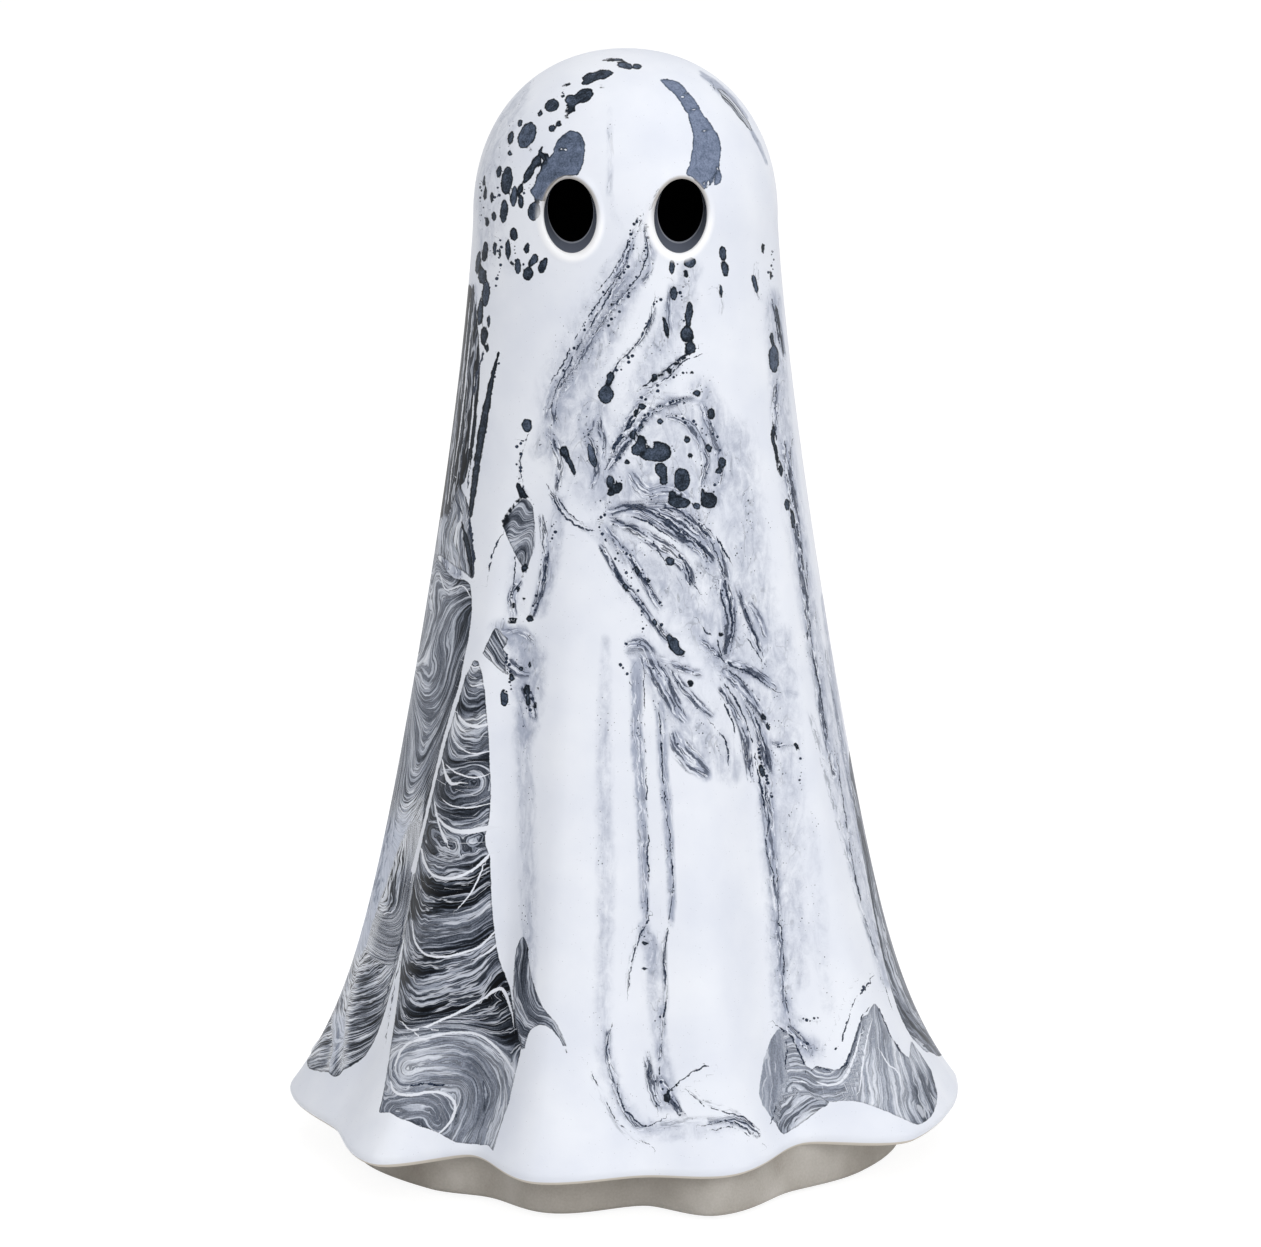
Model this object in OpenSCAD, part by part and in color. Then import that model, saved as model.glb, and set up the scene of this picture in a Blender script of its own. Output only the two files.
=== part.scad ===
// Hollow ceramic ghost figure: a draped shell with two eye openings, standing on a recessed foot.
// Millimetres, +Z up, the table at zero, the face towards -Y.

/* [Head] */
// Height from the table to the crown
total_h = 255; // [220:1:310]
// Diameter of the head at the shoulder
head_d = 69; // [56:1:84]
// Height of the domed crown above the shoulder
dome_h = 38; // [30:1:46]
// Squareness of the dome, where 2 is an ellipse
dome_power = 2.16; // [2:0.02:2.6]

/* [Drape] */
// How far the drape spreads on each side from the shoulder to the hem
drape_spread = 30; // [20:1:40]
// How late the drape spreads, where 1 is a straight cone
drape_power = 1.28; // [1.05:0.01:1.6]
// Extra flare of the hem on each side
hem_flare = 10; // [6:0.5:13]
// How late the hem flares
flare_power = 11; // [8:0.5:14]
// Height of the hem's lowest edge above the table
hem_h = 11; // [9:0.5:14]
// Radius of the rounded lip along the hem
lip_r = 1.8; // [1.2:0.1:2.2]
// Rise and fall of the hem between a crest and a hollow
hem_wave = 0.7; // [0.4:0.1:1.2]

/* [Folds] */
// Depth of a full fold at the hem
fold_depth = 8; // [5:0.5:10]
// Height above the hem at which the folds fade out
fold_run = 178; // [120:1:190]
// How late the folds deepen on the way down
fold_power = 1.7; // [1.3:0.1:2.2]

/* [Casting] */
// Thickness of the cast wall
wall = 4.8; // [3.5:0.1:6]

/* [Eyes] */
// Width of an eye opening
eye_w = 11.8; // [8:0.2:15]
// Height of an eye opening
eye_h = 16.4; // [12:0.2:22]
// Distance between the eye centres
eye_gap = 24.6; // [20:0.2:30]
// Distance from the crown down to the eye centres
eye_drop = 31.8; // [27:0.2:38]
// Radius of the rounded rim at the sides of an eye opening
eye_rim = 0.8; // [0.5:0.1:1.2]
// How much an eye opening narrows on each side through the wall
eye_draft = 0.8; // [0.4:0.1:1.4]
// How much an eye opening climbs through the wall
eye_climb = 0.6; // [0:0.1:1]

/* [Foot] */
// How far a full crest of the hem hangs out past the foot
hem_overhang = 12; // [9:0.5:14]
// Thickness of the foot's upright wall
foot_wall = 4.8; // [3.5:0.1:6]
// Thickness of the foot's floor
floor_t = 5; // [4:0.5:6.5]
// Diameter of the round opening in the floor
opening_d = 80; // [60:1:95]
// Radius of the foot's lower outer edge
foot_round = 1.4; // [0.8:0.1:2]
// Height of the seat under the shell above the hem's lowest edge
seat_rise = 2.4; // [2:0.1:3.5]
// Clearance between the lip and the foot beside the seat
seat_gap = 0.3; // [0.2:0.1:0.5]

/* [Pads] */
// Diameter of a pad
pad_d = 10; // [6:0.5:12]
// Thickness of a pad
pad_t = 1; // [0.8:0.1:2]
// Radius of a pad's lower edge
pad_round = 0.3; // [0.1:0.1:0.5]

/* [Hidden] */

// Each fold from crest to hollow, round from the left: its bearing from the front in degrees,
// its share of fold_depth and its share of hem_overhang.
fold_shares = [
    [-87, 0.35, 1.05], [-64, 0, 0.75], [-44, 1, 1.5], [-31, -0.95, 0.45], [-15, 0.4, 0.85],
    [4, -0.35, 1], [17, 0, 0.35], [39, -1.4, 0.15], [58, 0.4, 1.2], [76, 0.3, 1.1],
    [93, 0.25, 1.05], [113, -0.85, 0.5], [132, 0.6, 1.25], [152, -1.05, 0.4], [171, 0.35, 1.1],
    [190, -0.7, 0.6], [209, 0.6, 1.2], [229, -0.95, 0.45], [247, 0.5, 1.2], [260, 0, 0.85],
    [273, 0.35, 1.05],
];
turn = 360;
quarter = 90;

// Steps round the figure and along each stretch of its section
around_steps = 80;
dome_steps = 9;
drape_steps = 25;
lip_steps = 4;
hollow_steps = 12;
hollow_dome_steps = 5;
eye_steps = 36;
rim_steps = 3;
round_steps = 3;
// How much closer the drape's rings lie near the hem
drape_crowding = 1.6;

head_r = head_d / 2;
shoulder_z = total_h - dome_h;
hem_r = head_r + drape_spread + hem_flare;
hem_slope = (drape_spread * drape_power + hem_flare * flare_power) / (shoulder_z - hem_h);
lip_angle = atan(hem_slope);
lip_top = lip_r * (1 + sin(lip_angle));
fold_start = 1 - fold_run / (shoulder_z - hem_h);
seat_z = hem_h + seat_rise;
floor_z = pad_t + floor_t;
foot_r = hem_r - hem_overhang;
pad_ring_r = (opening_d / 2 + foot_r) / 2;
pad_count = 4;
pad_bearing = 17;
eye_z = total_h - eye_drop;
// Overrun of a cutting tool past the face that it cuts
overrun = 2;

function mix(a, b, t) = a + (b - a) * t;
function ease(t) = t * t * (3 - 2 * t);
function unit(t) = min(max(t, 0), 1);
function ring(r, bearing, z) = [r * sin(bearing), -r * cos(bearing), z];

// The share in one column of fold_shares at a bearing, eased from each crest to the next hollow.
function fold_share(bearing, column) =
    let (
        first = fold_shares[0][0],
        b = first + (bearing - first + turn) % turn,
        i = [for (k = [0 : len(fold_shares) - 2]) if (fold_shares[k + 1][0] > b) k][0],
        from = fold_shares[i],
        to = fold_shares[i + 1]
    )
    mix(from[column], to[column], ease((b - from[0]) / (to[0] - from[0])));

// Outline of the drape from its shoulder at u = 0 to the top of its lip at u = 1.
function fold_gain(u) = pow(unit((u - fold_start) / (1 - fold_start)), fold_power);
function drape_r(u, bearing) =
    head_r + drape_spread * pow(u, drape_power) + hem_flare * pow(u, flare_power)
    + fold_depth * fold_gain(u) * fold_share(bearing, 1);
function lip_z(bearing) = hem_h - hem_wave * fold_share(bearing, 1);
function drape_z(u, bearing) = mix(shoulder_z, lip_z(bearing) + lip_top, u);
function drape_u(z) = unit((shoulder_z - z) / (shoulder_z - hem_h - lip_top));
function drape_slope(u) =
    (drape_spread * drape_power * pow(u, drape_power - 1)
    + hem_flare * flare_power * pow(u, flare_power - 1)) / (shoulder_z - hem_h);

// The edge of the hem, and the foot that stands inside it.
function lip_centre_r(bearing) = drape_r(1, bearing) - lip_r * cos(lip_angle);
function foot_edge_r(bearing) =
    lip_centre_r(bearing) + lip_r - hem_overhang * fold_share(bearing, 2);
function foot_hollow_r(bearing) = foot_edge_r(bearing) - foot_wall;

// The head above the shoulder.
function dome_r(r, t) = r * pow(sin(t), 2 / dome_power);
function dome_z(h, t) = shoulder_z + h * pow(cos(t), 2 / dome_power);
function head_front_y(x, z) =
    let (
        above = unit((z - shoulder_z) / dome_h),
        u = drape_u(z),
        r = head_r * pow(1 - pow(above, dome_power), 1 / dome_power) + drape_spread * pow(u, drape_power)
    )
    -sqrt(r * r - x * x);

// The hollow keeps one wall inside the drape, and runs down straight into the foot.
function hollow_r(z, bearing) =
    let (u = drape_u(z), slope = drape_slope(u))
    min(drape_r(u, bearing) - wall * sqrt(1 + slope * slope), foot_hollow_r(bearing));

// One half section of the shell at a bearing, from beside the crown, round the lip, to the hollow's top.
function shell_section(bearing) = concat(
    [for (i = [1 : dome_steps])
        let (t = quarter * i / dome_steps)
        ring(dome_r(head_r, t), bearing, dome_z(dome_h, t))],
    [for (i = [1 : drape_steps])
        let (u = 1 - pow(1 - i / drape_steps, drape_crowding))
        ring(drape_r(u, bearing), bearing, drape_z(u, bearing))],
    [for (i = [1 : lip_steps])
        let (t = mix(lip_angle, -quarter, i / lip_steps))
        ring(lip_centre_r(bearing) + lip_r * cos(t), bearing, lip_z(bearing) + lip_r * (1 + sin(t)))],
    [ring(foot_edge_r(bearing) + seat_gap, bearing, seat_z)],
    [for (i = [0 : hollow_steps])
        let (z = mix(seat_z, shoulder_z, i / hollow_steps))
        ring(hollow_r(z, bearing), bearing, z)],
    [for (i = [1 : hollow_dome_steps - 1])
        let (t = quarter * (1 - i / hollow_dome_steps))
        ring(dome_r(head_r - wall, t), bearing, dome_z(dome_h - wall, t))]
);

// A closed solid from sections that all have the same number of points, between two points on the axis.
module revolve_sections(sections, first, last) {
    rows = len(sections);
    count = len(sections[0]);
    points = concat([first], [for (s = sections) each s], [last]);
    end = rows * count + 1;
    faces = [for (i = [0 : rows - 1])
        let (a = 1 + i * count, b = 1 + ((i + 1) % rows) * count)
        each concat(
            [[0, b, a]],
            [for (j = [0 : count - 2]) each [[a + j, b + j, b + j + 1], [a + j, b + j + 1, a + j + 1]]],
            [[a + count - 1, b + count - 1, end]]
        )
    ];
    polyhedron(points, faces);
}

function bearings(steps) = [for (i = [0 : steps - 1]) i * turn / steps];

// One loop of an eye's cutter: its ellipse grown by grow at the sides, raised by climb
// and set back from the head's face by depth.
function eye_loop(side, grow, climb, depth) =
    [for (t = bearings(eye_steps))
        let (
            half_w = eye_w / 2 + grow,
            x = side * eye_gap / 2 + half_w * cos(t),
            z = eye_z + climb + half_w * eye_h / eye_w * sin(t)
        )
        [x, head_front_y(x, z) + depth, z]];

// Cuts an eye opening straight back along Y, with a rounded rim that follows the head.
module eye_cutter(side) {
    rim = [for (i = [0 : rim_steps])
        let (t = quarter * i / rim_steps)
        eye_loop(side, eye_rim * (1 - sin(t)), 0, eye_rim * (1 - cos(t)))];
    loops = concat(
        [eye_loop(side, eye_rim, 0, -overrun)],
        rim,
        [eye_loop(side, -2 * eye_draft, 2 * eye_climb, 2 * wall)]
    );
    count = len(loops);
    points = [for (loop = loops) each loop];
    walls = [for (i = [0 : count - 2], j = [0 : eye_steps - 1])
        let (
            a = i * eye_steps + j,
            b = i * eye_steps + (j + 1) % eye_steps
        )
        each [[a, b, b + eye_steps], [a, b + eye_steps, a + eye_steps]]
    ];
    front = [for (j = [1 : eye_steps - 2]) [0, j + 1, j]];
    last = (count - 1) * eye_steps;
    back = [for (j = [1 : eye_steps - 2]) [last, last + j, last + j + 1]];
    polyhedron(points, concat(walls, front, back));
}

// The cast shell: drape, hem, eye openings and the seat under the hem.
module ghost_shell() {
    color("whitesmoke")
    difference() {
        revolve_sections(
            [for (b = bearings(around_steps)) shell_section(b)],
            [0, 0, total_h],
            [0, 0, total_h - wall]
        );
        eye_cutter(-1);
        eye_cutter(1);
    }
}

// One closed section of the foot at a bearing: outer wall, rounded lower edge, opening, floor, inner wall.
function foot_section(bearing) = concat(
    [ring(foot_edge_r(bearing), bearing, seat_z)],
    [for (i = [0 : round_steps])
        let (t = quarter * i / round_steps)
        ring(
            foot_edge_r(bearing) - foot_round * (1 - cos(t)),
            bearing,
            pad_t + foot_round * (1 - sin(t))
        )],
    [
        ring(opening_d / 2, bearing, pad_t),
        ring(opening_d / 2, bearing, floor_z),
        ring(foot_hollow_r(bearing), bearing, floor_z),
        ring(foot_hollow_r(bearing), bearing, seat_z)
    ]
);

// A closed ring from closed sections that all have the same number of points.
module revolve_loops(sections) {
    rows = len(sections);
    count = len(sections[0]);
    points = [for (s = sections) each s];
    faces = [for (i = [0 : rows - 1], j = [0 : count - 1])
        let (
            a = i * count,
            b = ((i + 1) % rows) * count,
            next = (j + 1) % count
        )
        each [[a + j, b + j, b + next], [a + j, b + next, a + next]]
    ];
    polyhedron(points, faces);
}

// The bare clay foot: a fluted ring with a floor that has a round opening.
module foot_base() {
    color("tan")
    revolve_loops([for (b = bearings(around_steps)) foot_section(b)]);
}

// A soft pad under the foot, with its lower edge rounded.
module pad(index) {
    color("dimgray")
    translate(ring(pad_ring_r, pad_bearing + index * turn / pad_count, 0))
        rotate_extrude($fn = 48)
            polygon(concat(
                [[0, pad_t], [0, 0]],
                [for (i = [0 : round_steps])
                    let (t = quarter * i / round_steps)
                    [pad_d / 2 - pad_round * (1 - sin(t)), pad_round * (1 - cos(t))]],
                [[pad_d / 2, pad_t]]
            ));
}

ghost_shell();
foot_base();
pad(0);  // pad_1
pad(1);  // pad_2
pad(2);  // pad_3
pad(3);  // pad_4
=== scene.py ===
"""Looks of the ceramic ghost figure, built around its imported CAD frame.

The shell and the foot are rebuilt as smooth meshes from the sizes of the CAD source,
and the marbled glaze is laid on the shell as smooth fields that its material draws.
"""
import math

import bpy
import numpy as np
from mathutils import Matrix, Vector


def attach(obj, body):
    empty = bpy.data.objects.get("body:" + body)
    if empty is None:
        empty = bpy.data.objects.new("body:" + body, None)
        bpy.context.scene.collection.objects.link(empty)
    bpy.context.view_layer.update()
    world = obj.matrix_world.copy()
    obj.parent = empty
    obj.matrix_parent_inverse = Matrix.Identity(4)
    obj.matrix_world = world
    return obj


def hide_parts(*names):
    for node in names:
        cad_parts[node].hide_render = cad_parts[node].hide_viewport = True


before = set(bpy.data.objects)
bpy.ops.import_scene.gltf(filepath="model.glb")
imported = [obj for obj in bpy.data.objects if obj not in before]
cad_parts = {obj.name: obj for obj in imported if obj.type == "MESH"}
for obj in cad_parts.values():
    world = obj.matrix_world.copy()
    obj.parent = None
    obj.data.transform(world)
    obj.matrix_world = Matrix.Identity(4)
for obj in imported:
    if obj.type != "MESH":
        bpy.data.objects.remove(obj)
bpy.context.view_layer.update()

MM = 0.001

# Sizes of the part in millimetres and degrees, as in its CAD source.
TOTAL_H = 255
HEAD_R = 34.5
DOME_H = 38
DOME_POWER = 2.16
DRAPE_SPREAD = 30
DRAPE_POWER = 1.28
HEM_FLARE = 10
FLARE_POWER = 11
HEM_H = 11
LIP_R = 1.8
HEM_WAVE = 0.7
FOLD_DEPTH = 8
FOLD_RUN = 178
FOLD_POWER = 1.7
WALL = 4.8
EYE_W = 11.8
EYE_H = 16.4
EYE_GAP = 24.6
EYE_DROP = 31.8
EYE_RIM = 0.8
EYE_DRAFT = 0.8
EYE_CLIMB = 0.6
HEM_OVERHANG = 12
FOOT_WALL = 4.8
FLOOR_T = 5
OPENING_R = 40
FOOT_ROUND = 1.4
SEAT_RISE = 2.4
SEAT_GAP = 0.3
PAD_D = 10
PAD_T = 1
PAD_ROUND = 0.3
PAD_COUNT = 4
PAD_BEARING = 17

# The glaze gathers in a low roll round each eye: how far it reaches and how high it stands.
RIM_REACH = 2.1
RIM_SWELL = 0.3

SHOULDER_Z = TOTAL_H - DOME_H
SPAN = SHOULDER_Z - HEM_H
HEM_SLOPE = (DRAPE_SPREAD * DRAPE_POWER + HEM_FLARE * FLARE_POWER) / SPAN
LIP_ANGLE = math.degrees(math.atan(HEM_SLOPE))
LIP_TOP = LIP_R * (1 + math.sin(math.radians(LIP_ANGLE)))
DROP = SPAN - LIP_TOP
FOLD_START = 1 - FOLD_RUN / SPAN
HEM_R = HEAD_R + DRAPE_SPREAD + HEM_FLARE
SEAT_Z = HEM_H + SEAT_RISE
FLOOR_Z = PAD_T + FLOOR_T
EYE_Z = TOTAL_H - EYE_DROP
PAD_RING_R = (OPENING_R + HEM_R - HEM_OVERHANG) / 2

# The net is cut open in a window round each eye, whose rings of points it then carries: the
# window's reach above and below the eye on the skin and in the hollow, the bearings that it
# spans and the bearing at which it starts in the hollow.
WINDOW_UP, WINDOW_DOWN = 12.6, 12.2
HOLLOW_UP, HOLLOW_DOWN = 11, 11.6
WINDOW_SPAN = (6.4, 38.6)
HOLLOW_START = 10.5
# Heights between which the rings of the drape lie closest, for the finest marbling.
FINE_TOP, FINE_LOW = 125, 26
# Edges that turn by more than this many degrees stay sharp.
SHARP_TURN = 50

# Each fold from crest to hollow: its bearing from the front in degrees, its share of
# FOLD_DEPTH and its share of HEM_OVERHANG.
FOLD_SHARES = (
    (-87, 0.35, 1.05), (-64, 0, 0.75), (-44, 1, 1.5), (-31, -0.95, 0.45), (-15, 0.4, 0.85),
    (4, -0.35, 1), (17, 0, 0.35), (39, -1.4, 0.15), (58, 0.4, 1.2), (76, 0.3, 1.1),
    (93, 0.25, 1.05), (113, -0.85, 0.5), (132, 0.6, 1.25), (152, -1.05, 0.4), (171, 0.35, 1.1),
    (190, -0.7, 0.6), (209, 0.6, 1.2), (229, -0.95, 0.45), (247, 0.5, 1.2), (260, 0, 0.85),
    (273, 0.35, 1.05),
)

# The photograph's frame and the view in it, in pixels and millimetres.
FRAME_W, FRAME_H = 1261, 1247
VIEW_DISTANCE = 2200
VIEW_TILT = math.radians(13.7)
AIM_Z = 128
AIM_X_PX, AIM_Y_PX = 625.5, 598.4
PX_PER_MM = 4.372


def linear(hex_colour):
    """An sRGB hex colour as linear RGBA."""
    parts = [int(hex_colour[i:i + 2], 16) / 255 for i in (1, 3, 5)]
    return [p / 12.92 if p <= 0.04045 else ((p + 0.055) / 1.055) ** 2.4 for p in parts] + [1.0]


def add_node(tree, kind, inputs=None, stops=(), **settings):
    """Adds one node with its settings, its links or values, and the stops of its colour ramp.

    Inputs go by name or number and take a node, socket, term, value or sRGB hex colour.
    """
    node = tree.nodes.new(kind)
    for name, value in settings.items():
        setattr(node, name, value)
    for key, value in (inputs or {}).items():
        if isinstance(value, bpy.types.Node):
            value = Term(tree, value)
        if isinstance(value, Term):
            value = value.socket
        if isinstance(value, bpy.types.NodeSocket):
            tree.links.new(value, node.inputs[key])
        else:
            node.inputs[key].default_value = linear(value) if str(value)[:1] == "#" else value
    if stops:
        elements = node.color_ramp.elements
        while len(elements) < len(stops):
            elements.new(0.5)
        for element, (position, colour) in zip(elements, stops):
            element.position = position
            element.color = linear(colour)
    return node


class Term:
    """A number in a node tree. Sums of it in Python add the Math nodes that work them out."""

    def __init__(self, tree, source):
        if isinstance(source, bpy.types.Node):
            source = next(socket for socket in source.outputs if socket.enabled)
        self.tree = tree
        self.socket = source

    def math(self, operation, *others, first=None):
        terms = (self, *others) if first is None else (first, self)
        node = add_node(self.tree, "ShaderNodeMath", dict(enumerate(terms)), operation=operation)
        return Term(self.tree, node)

    def __add__(self, other):
        return self.math("ADD", other)

    def __sub__(self, other):
        return self.math("SUBTRACT", other)

    def __rsub__(self, other):
        return self.math("SUBTRACT", first=other)

    def __mul__(self, other):
        return self.math("MULTIPLY", other)

    def __truediv__(self, other):
        return self.math("DIVIDE", other)

    def __rtruediv__(self, other):
        return self.math("DIVIDE", first=other)

    def __pow__(self, other):
        return self.math("POWER", other)

    def __abs__(self):
        return self.math("ABSOLUTE")


def fold_share(bearing, column):
    """The share in one column of FOLD_SHARES, eased from each crest to the next hollow."""
    table = np.array(FOLD_SHARES, float)
    b = table[0, 0] + (np.asarray(bearing, float) - table[0, 0]) % 360
    i = np.clip(np.searchsorted(table[:, 0], b, side="right") - 1, 0, len(table) - 2)
    t = (b - table[i, 0]) / (table[i + 1, 0] - table[i, 0])
    return table[i, column] + (table[i + 1, column] - table[i, column]) * t * t * (3 - 2 * t)


def new_mesh(name, points, faces):
    mesh = bpy.data.meshes.new(name)
    mesh.from_pydata([tuple(p) for p in points], [], faces)
    mesh.update()
    piece = bpy.data.objects.new(name, mesh)
    bpy.context.scene.collection.objects.link(piece)
    return piece


def set_field(mesh, name, values):
    field = mesh.attributes.get(name) or mesh.attributes.new(name, "FLOAT", "POINT")
    field.data.foreach_set("value", np.asarray(values, np.float32))


def get_field(mesh, name):
    values = np.zeros(len(mesh.vertices), np.float32)
    mesh.attributes[name].data.foreach_get("value", values)
    return values.astype(float)


def formed(piece, name, tree, sizes):
    """The plain mesh object that a geometry tree makes of a piece, which it replaces."""
    modifier = piece.modifiers.new("form", "NODES")
    modifier.node_group = tree
    for item in tree.interface.items_tree:
        if item.in_out == "INPUT" and item.name in sizes:
            modifier[item.identifier] = sizes[item.name]
    graph = bpy.context.evaluated_depsgraph_get()
    mesh = bpy.data.meshes.new_from_object(piece.evaluated_get(graph))
    source = piece.data
    bpy.data.objects.remove(piece)
    bpy.data.meshes.remove(source)
    mesh.name = name
    mesh.set_sharp_from_angle(angle=math.radians(SHARP_TURN))
    result = bpy.data.objects.new(name, mesh)
    bpy.context.scene.collection.objects.link(result)
    return result


# The draped shell.

def crown_angle(z, dome_h):
    """Angle from the crown at which the dome has a height; 90 at the shoulder and below."""
    above = np.clip((z - SHOULDER_Z) / dome_h, 0, 1)
    return np.degrees(np.arccos(above ** (DOME_POWER / 2)))


def fall_at(z):
    """How far down the drape a height lies: 0 at the shoulder and above, 1 at the lip's top."""
    return np.maximum((SHOULDER_Z - z) / DROP, 0)


def head_radius(z, inside):
    """Radius of the shell's skin or of its hollow at a height near the eyes."""
    crown = np.radians(crown_angle(z, DOME_H - WALL * inside))
    fall = fall_at(z)
    slope = DRAPE_SPREAD * DRAPE_POWER * fall ** (DRAPE_POWER - 1) / SPAN
    return ((HEAD_R - WALL * inside) * np.sin(crown) ** (2 / DOME_POWER)
            + DRAPE_SPREAD * fall ** DRAPE_POWER
            - inside * WALL * (np.sqrt(1 + slope * slope) - 1))


def ring_rows():
    """Rings of the shell from the crown down, round the lip and up the hollow.

    Each row is crown angle, fall along the drape, lip angle, and how far the ring has gone
    under to the seat and inside to the hollow. Also the first and last ring of the eyes'
    window on the skin and in the hollow.
    """
    def between(start, end, count):
        return np.linspace(start, end, count)[1:]

    top, low = EYE_Z + WINDOW_UP, EYE_Z - WINDOW_DOWN
    rows = [(t, 0, LIP_ANGLE, 0, 0) for t in np.linspace(1.6, crown_angle(top, DOME_H), 40)]
    first = len(rows) - 1
    rows += [(crown_angle(z, DOME_H), 0, LIP_ANGLE, 0, 0) for z in between(top, SHOULDER_Z, 20)]
    rows += [(90, u, LIP_ANGLE, 0, 0) for u in between(0, fall_at(low), 6)]
    window = (first, len(rows) - 1)
    for end, count in ((fall_at(FINE_TOP), 76), (fall_at(FINE_LOW), 88), (1, 13)):
        rows += [(90, u, LIP_ANGLE, 0, 0) for u in between(rows[-1][1], end, count)]
    rows += [(90, 1, a, 0, 0) for a in between(LIP_ANGLE, -90, 9)]
    rows += [(90, 1, -90, u, 0) for u in (0.04, 0.5, 0.96, 1)]

    top, low = EYE_Z + HOLLOW_UP, fall_at(EYE_Z - HOLLOW_DOWN)
    rows += [(90, u, -90, 0, 1) for u in np.linspace(fall_at(SEAT_Z), low, 17)]
    first = len(rows) - 1
    rows += [(90, u, -90, 0, 1) for u in between(low, 0, 6)]
    rows += [(crown_angle(z, DOME_H - WALL), 0, -90, 0, 1) for z in between(SHOULDER_Z, top, 20)]
    hollow_window = (first, len(rows) - 1)
    rows += [(t, 0, -90, 0, 1) for t in between(crown_angle(top, DOME_H - WALL), 3, 9)]
    return rows, window, hollow_window


def drape_net():
    """The shell's net: points that carry their place on the form, and the faces between them."""
    bearings = np.concatenate([
        np.arange(-180, -100, 3.2), np.arange(-100, -78, 0.9), np.arange(-78, -22, 0.5),
        np.arange(-22, 100, 0.85), np.arange(100, 180, 3.2)])
    rows, window, hollow_window = ring_rows()
    count = len(bearings)
    place = [(0, 0, 0, LIP_ANGLE, 0, 0, 0)]
    for row in rows:
        place += [(b, *row, 0) for b in bearings]
    place.append((0, 0, 0, -90, 0, 1, 0))

    def at(row, column):
        return 1 + row * count + column % count

    def nearest(bearing):
        return int(np.argmin(abs(bearings - bearing)))

    # Each eye's side and the first and last column of its window, on the skin and inside.
    spans = []
    for side in (-1, 1):
        first, last = (nearest(b) for b in sorted(side * b for b in WINDOW_SPAN))
        shift = nearest(side * HOLLOW_START) - (last if side < 0 else first)
        spans.append((side, (first, last), (first + shift, last + shift)))

    def in_window(row, column):
        return any(rings[0] <= row < rings[1] and columns[0] <= column < columns[1]
                   for _, skin, hollow in spans
                   for rings, columns in ((window, skin), (hollow_window, hollow)))

    faces = []
    for column in range(count):
        faces.append((0, at(0, column), at(0, column + 1)))
        faces.append((len(place) - 1, at(len(rows) - 1, column + 1), at(len(rows) - 1, column)))
        for row in range(len(rows) - 1):
            if not in_window(row, column):
                faces.append((at(row, column), at(row + 1, column),
                              at(row + 1, column + 1), at(row, column + 1)))

    def loop(top, low, columns):
        """Indices round a window, clockwise as seen from the front."""
        first, last = columns
        step = 1 if low > top else -1
        down = list(range(top, low, step))
        return ([at(top, c) for c in range(first, last)] + [at(r, last) for r in down]
                + [at(low, c) for c in range(last, first, -1)]
                + [at(r + step, first) for r in reversed(down)])

    def flat_place(index):
        """Distance to the right and height of a point of the net on the head."""
        b, crown, fall, _, _, inside, _ = place[index]
        up = max(math.cos(math.radians(crown)), 0) ** (2 / DOME_POWER)
        z = SHOULDER_Z + (DOME_H - WALL * inside) * up - fall * DROP
        return head_radius(z, inside) * math.sin(math.radians(b)), z

    def add_ring(flat, inside=0, depth=0):
        """Adds points at distances to the right and heights on the head, set back by depth."""
        x, z = flat.T
        start = len(place)
        for b, crown, fall in zip(np.degrees(np.arcsin(x / head_radius(z, inside))),
                                  crown_angle(z, DOME_H - WALL * inside), fall_at(z)):
            place.append((b, crown, fall, -90 if inside else LIP_ANGLE, 0, inside, depth))
        return list(range(start, len(place)))

    for side, skin, hollow in spans:
        outer = loop(*window, skin)
        inner = loop(*reversed(hollow_window), hollow)
        edge, inner_edge = (np.array([flat_place(i) for i in ring]) for ring in (outer, inner))
        middle = np.array([side * EYE_GAP / 2, EYE_Z])
        away = (edge - middle) / np.abs(edge - middle).max(axis=0)
        turn = np.arctan2(away[:, 1], away[:, 0])

        def eye(grow, climb=0):
            """The eye's outline, grown all round and raised."""
            reach = EYE_W / 2 + grow
            return middle + np.stack([reach * np.cos(turn),
                                      climb + reach * EYE_H / EYE_W * np.sin(turn)], axis=1)

        rings = [outer]
        for t in (0.3, 0.66, 1):
            rings.append(add_ring(edge + (eye(RIM_REACH) - edge) * t))
        for t in (0.3, 0.6, 0.85, 1):
            risen = RIM_SWELL * (1 - math.cos(math.pi * t)) / 2
            rings.append(add_ring(eye(RIM_REACH + (EYE_RIM - RIM_REACH) * t), depth=-risen))
        for t in np.radians((18, 36, 54, 72, 90)):
            rolled = (EYE_RIM + RIM_SWELL) * (1 - math.cos(t)) - RIM_SWELL
            rings.append(add_ring(eye(EYE_RIM * (1 - math.sin(t))), depth=rolled))
        bore = eye(-EYE_DRAFT, EYE_CLIMB)
        for t in (0, 0.25, 0.6):
            rings.append(add_ring(bore + (inner_edge - bore) * t, inside=1))
        rings.append(inner)
        for near, far in zip(rings[:-1], rings[1:]):
            faces += list(zip(near, far, far[1:] + far[:1], near[1:] + near[:1]))

    used = sorted({i for f in faces for i in f})
    index = {old: new for new, old in enumerate(used)}
    return (np.array([place[i] for i in used], float),
            [tuple(index[i] for i in f) for f in faces])


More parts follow.
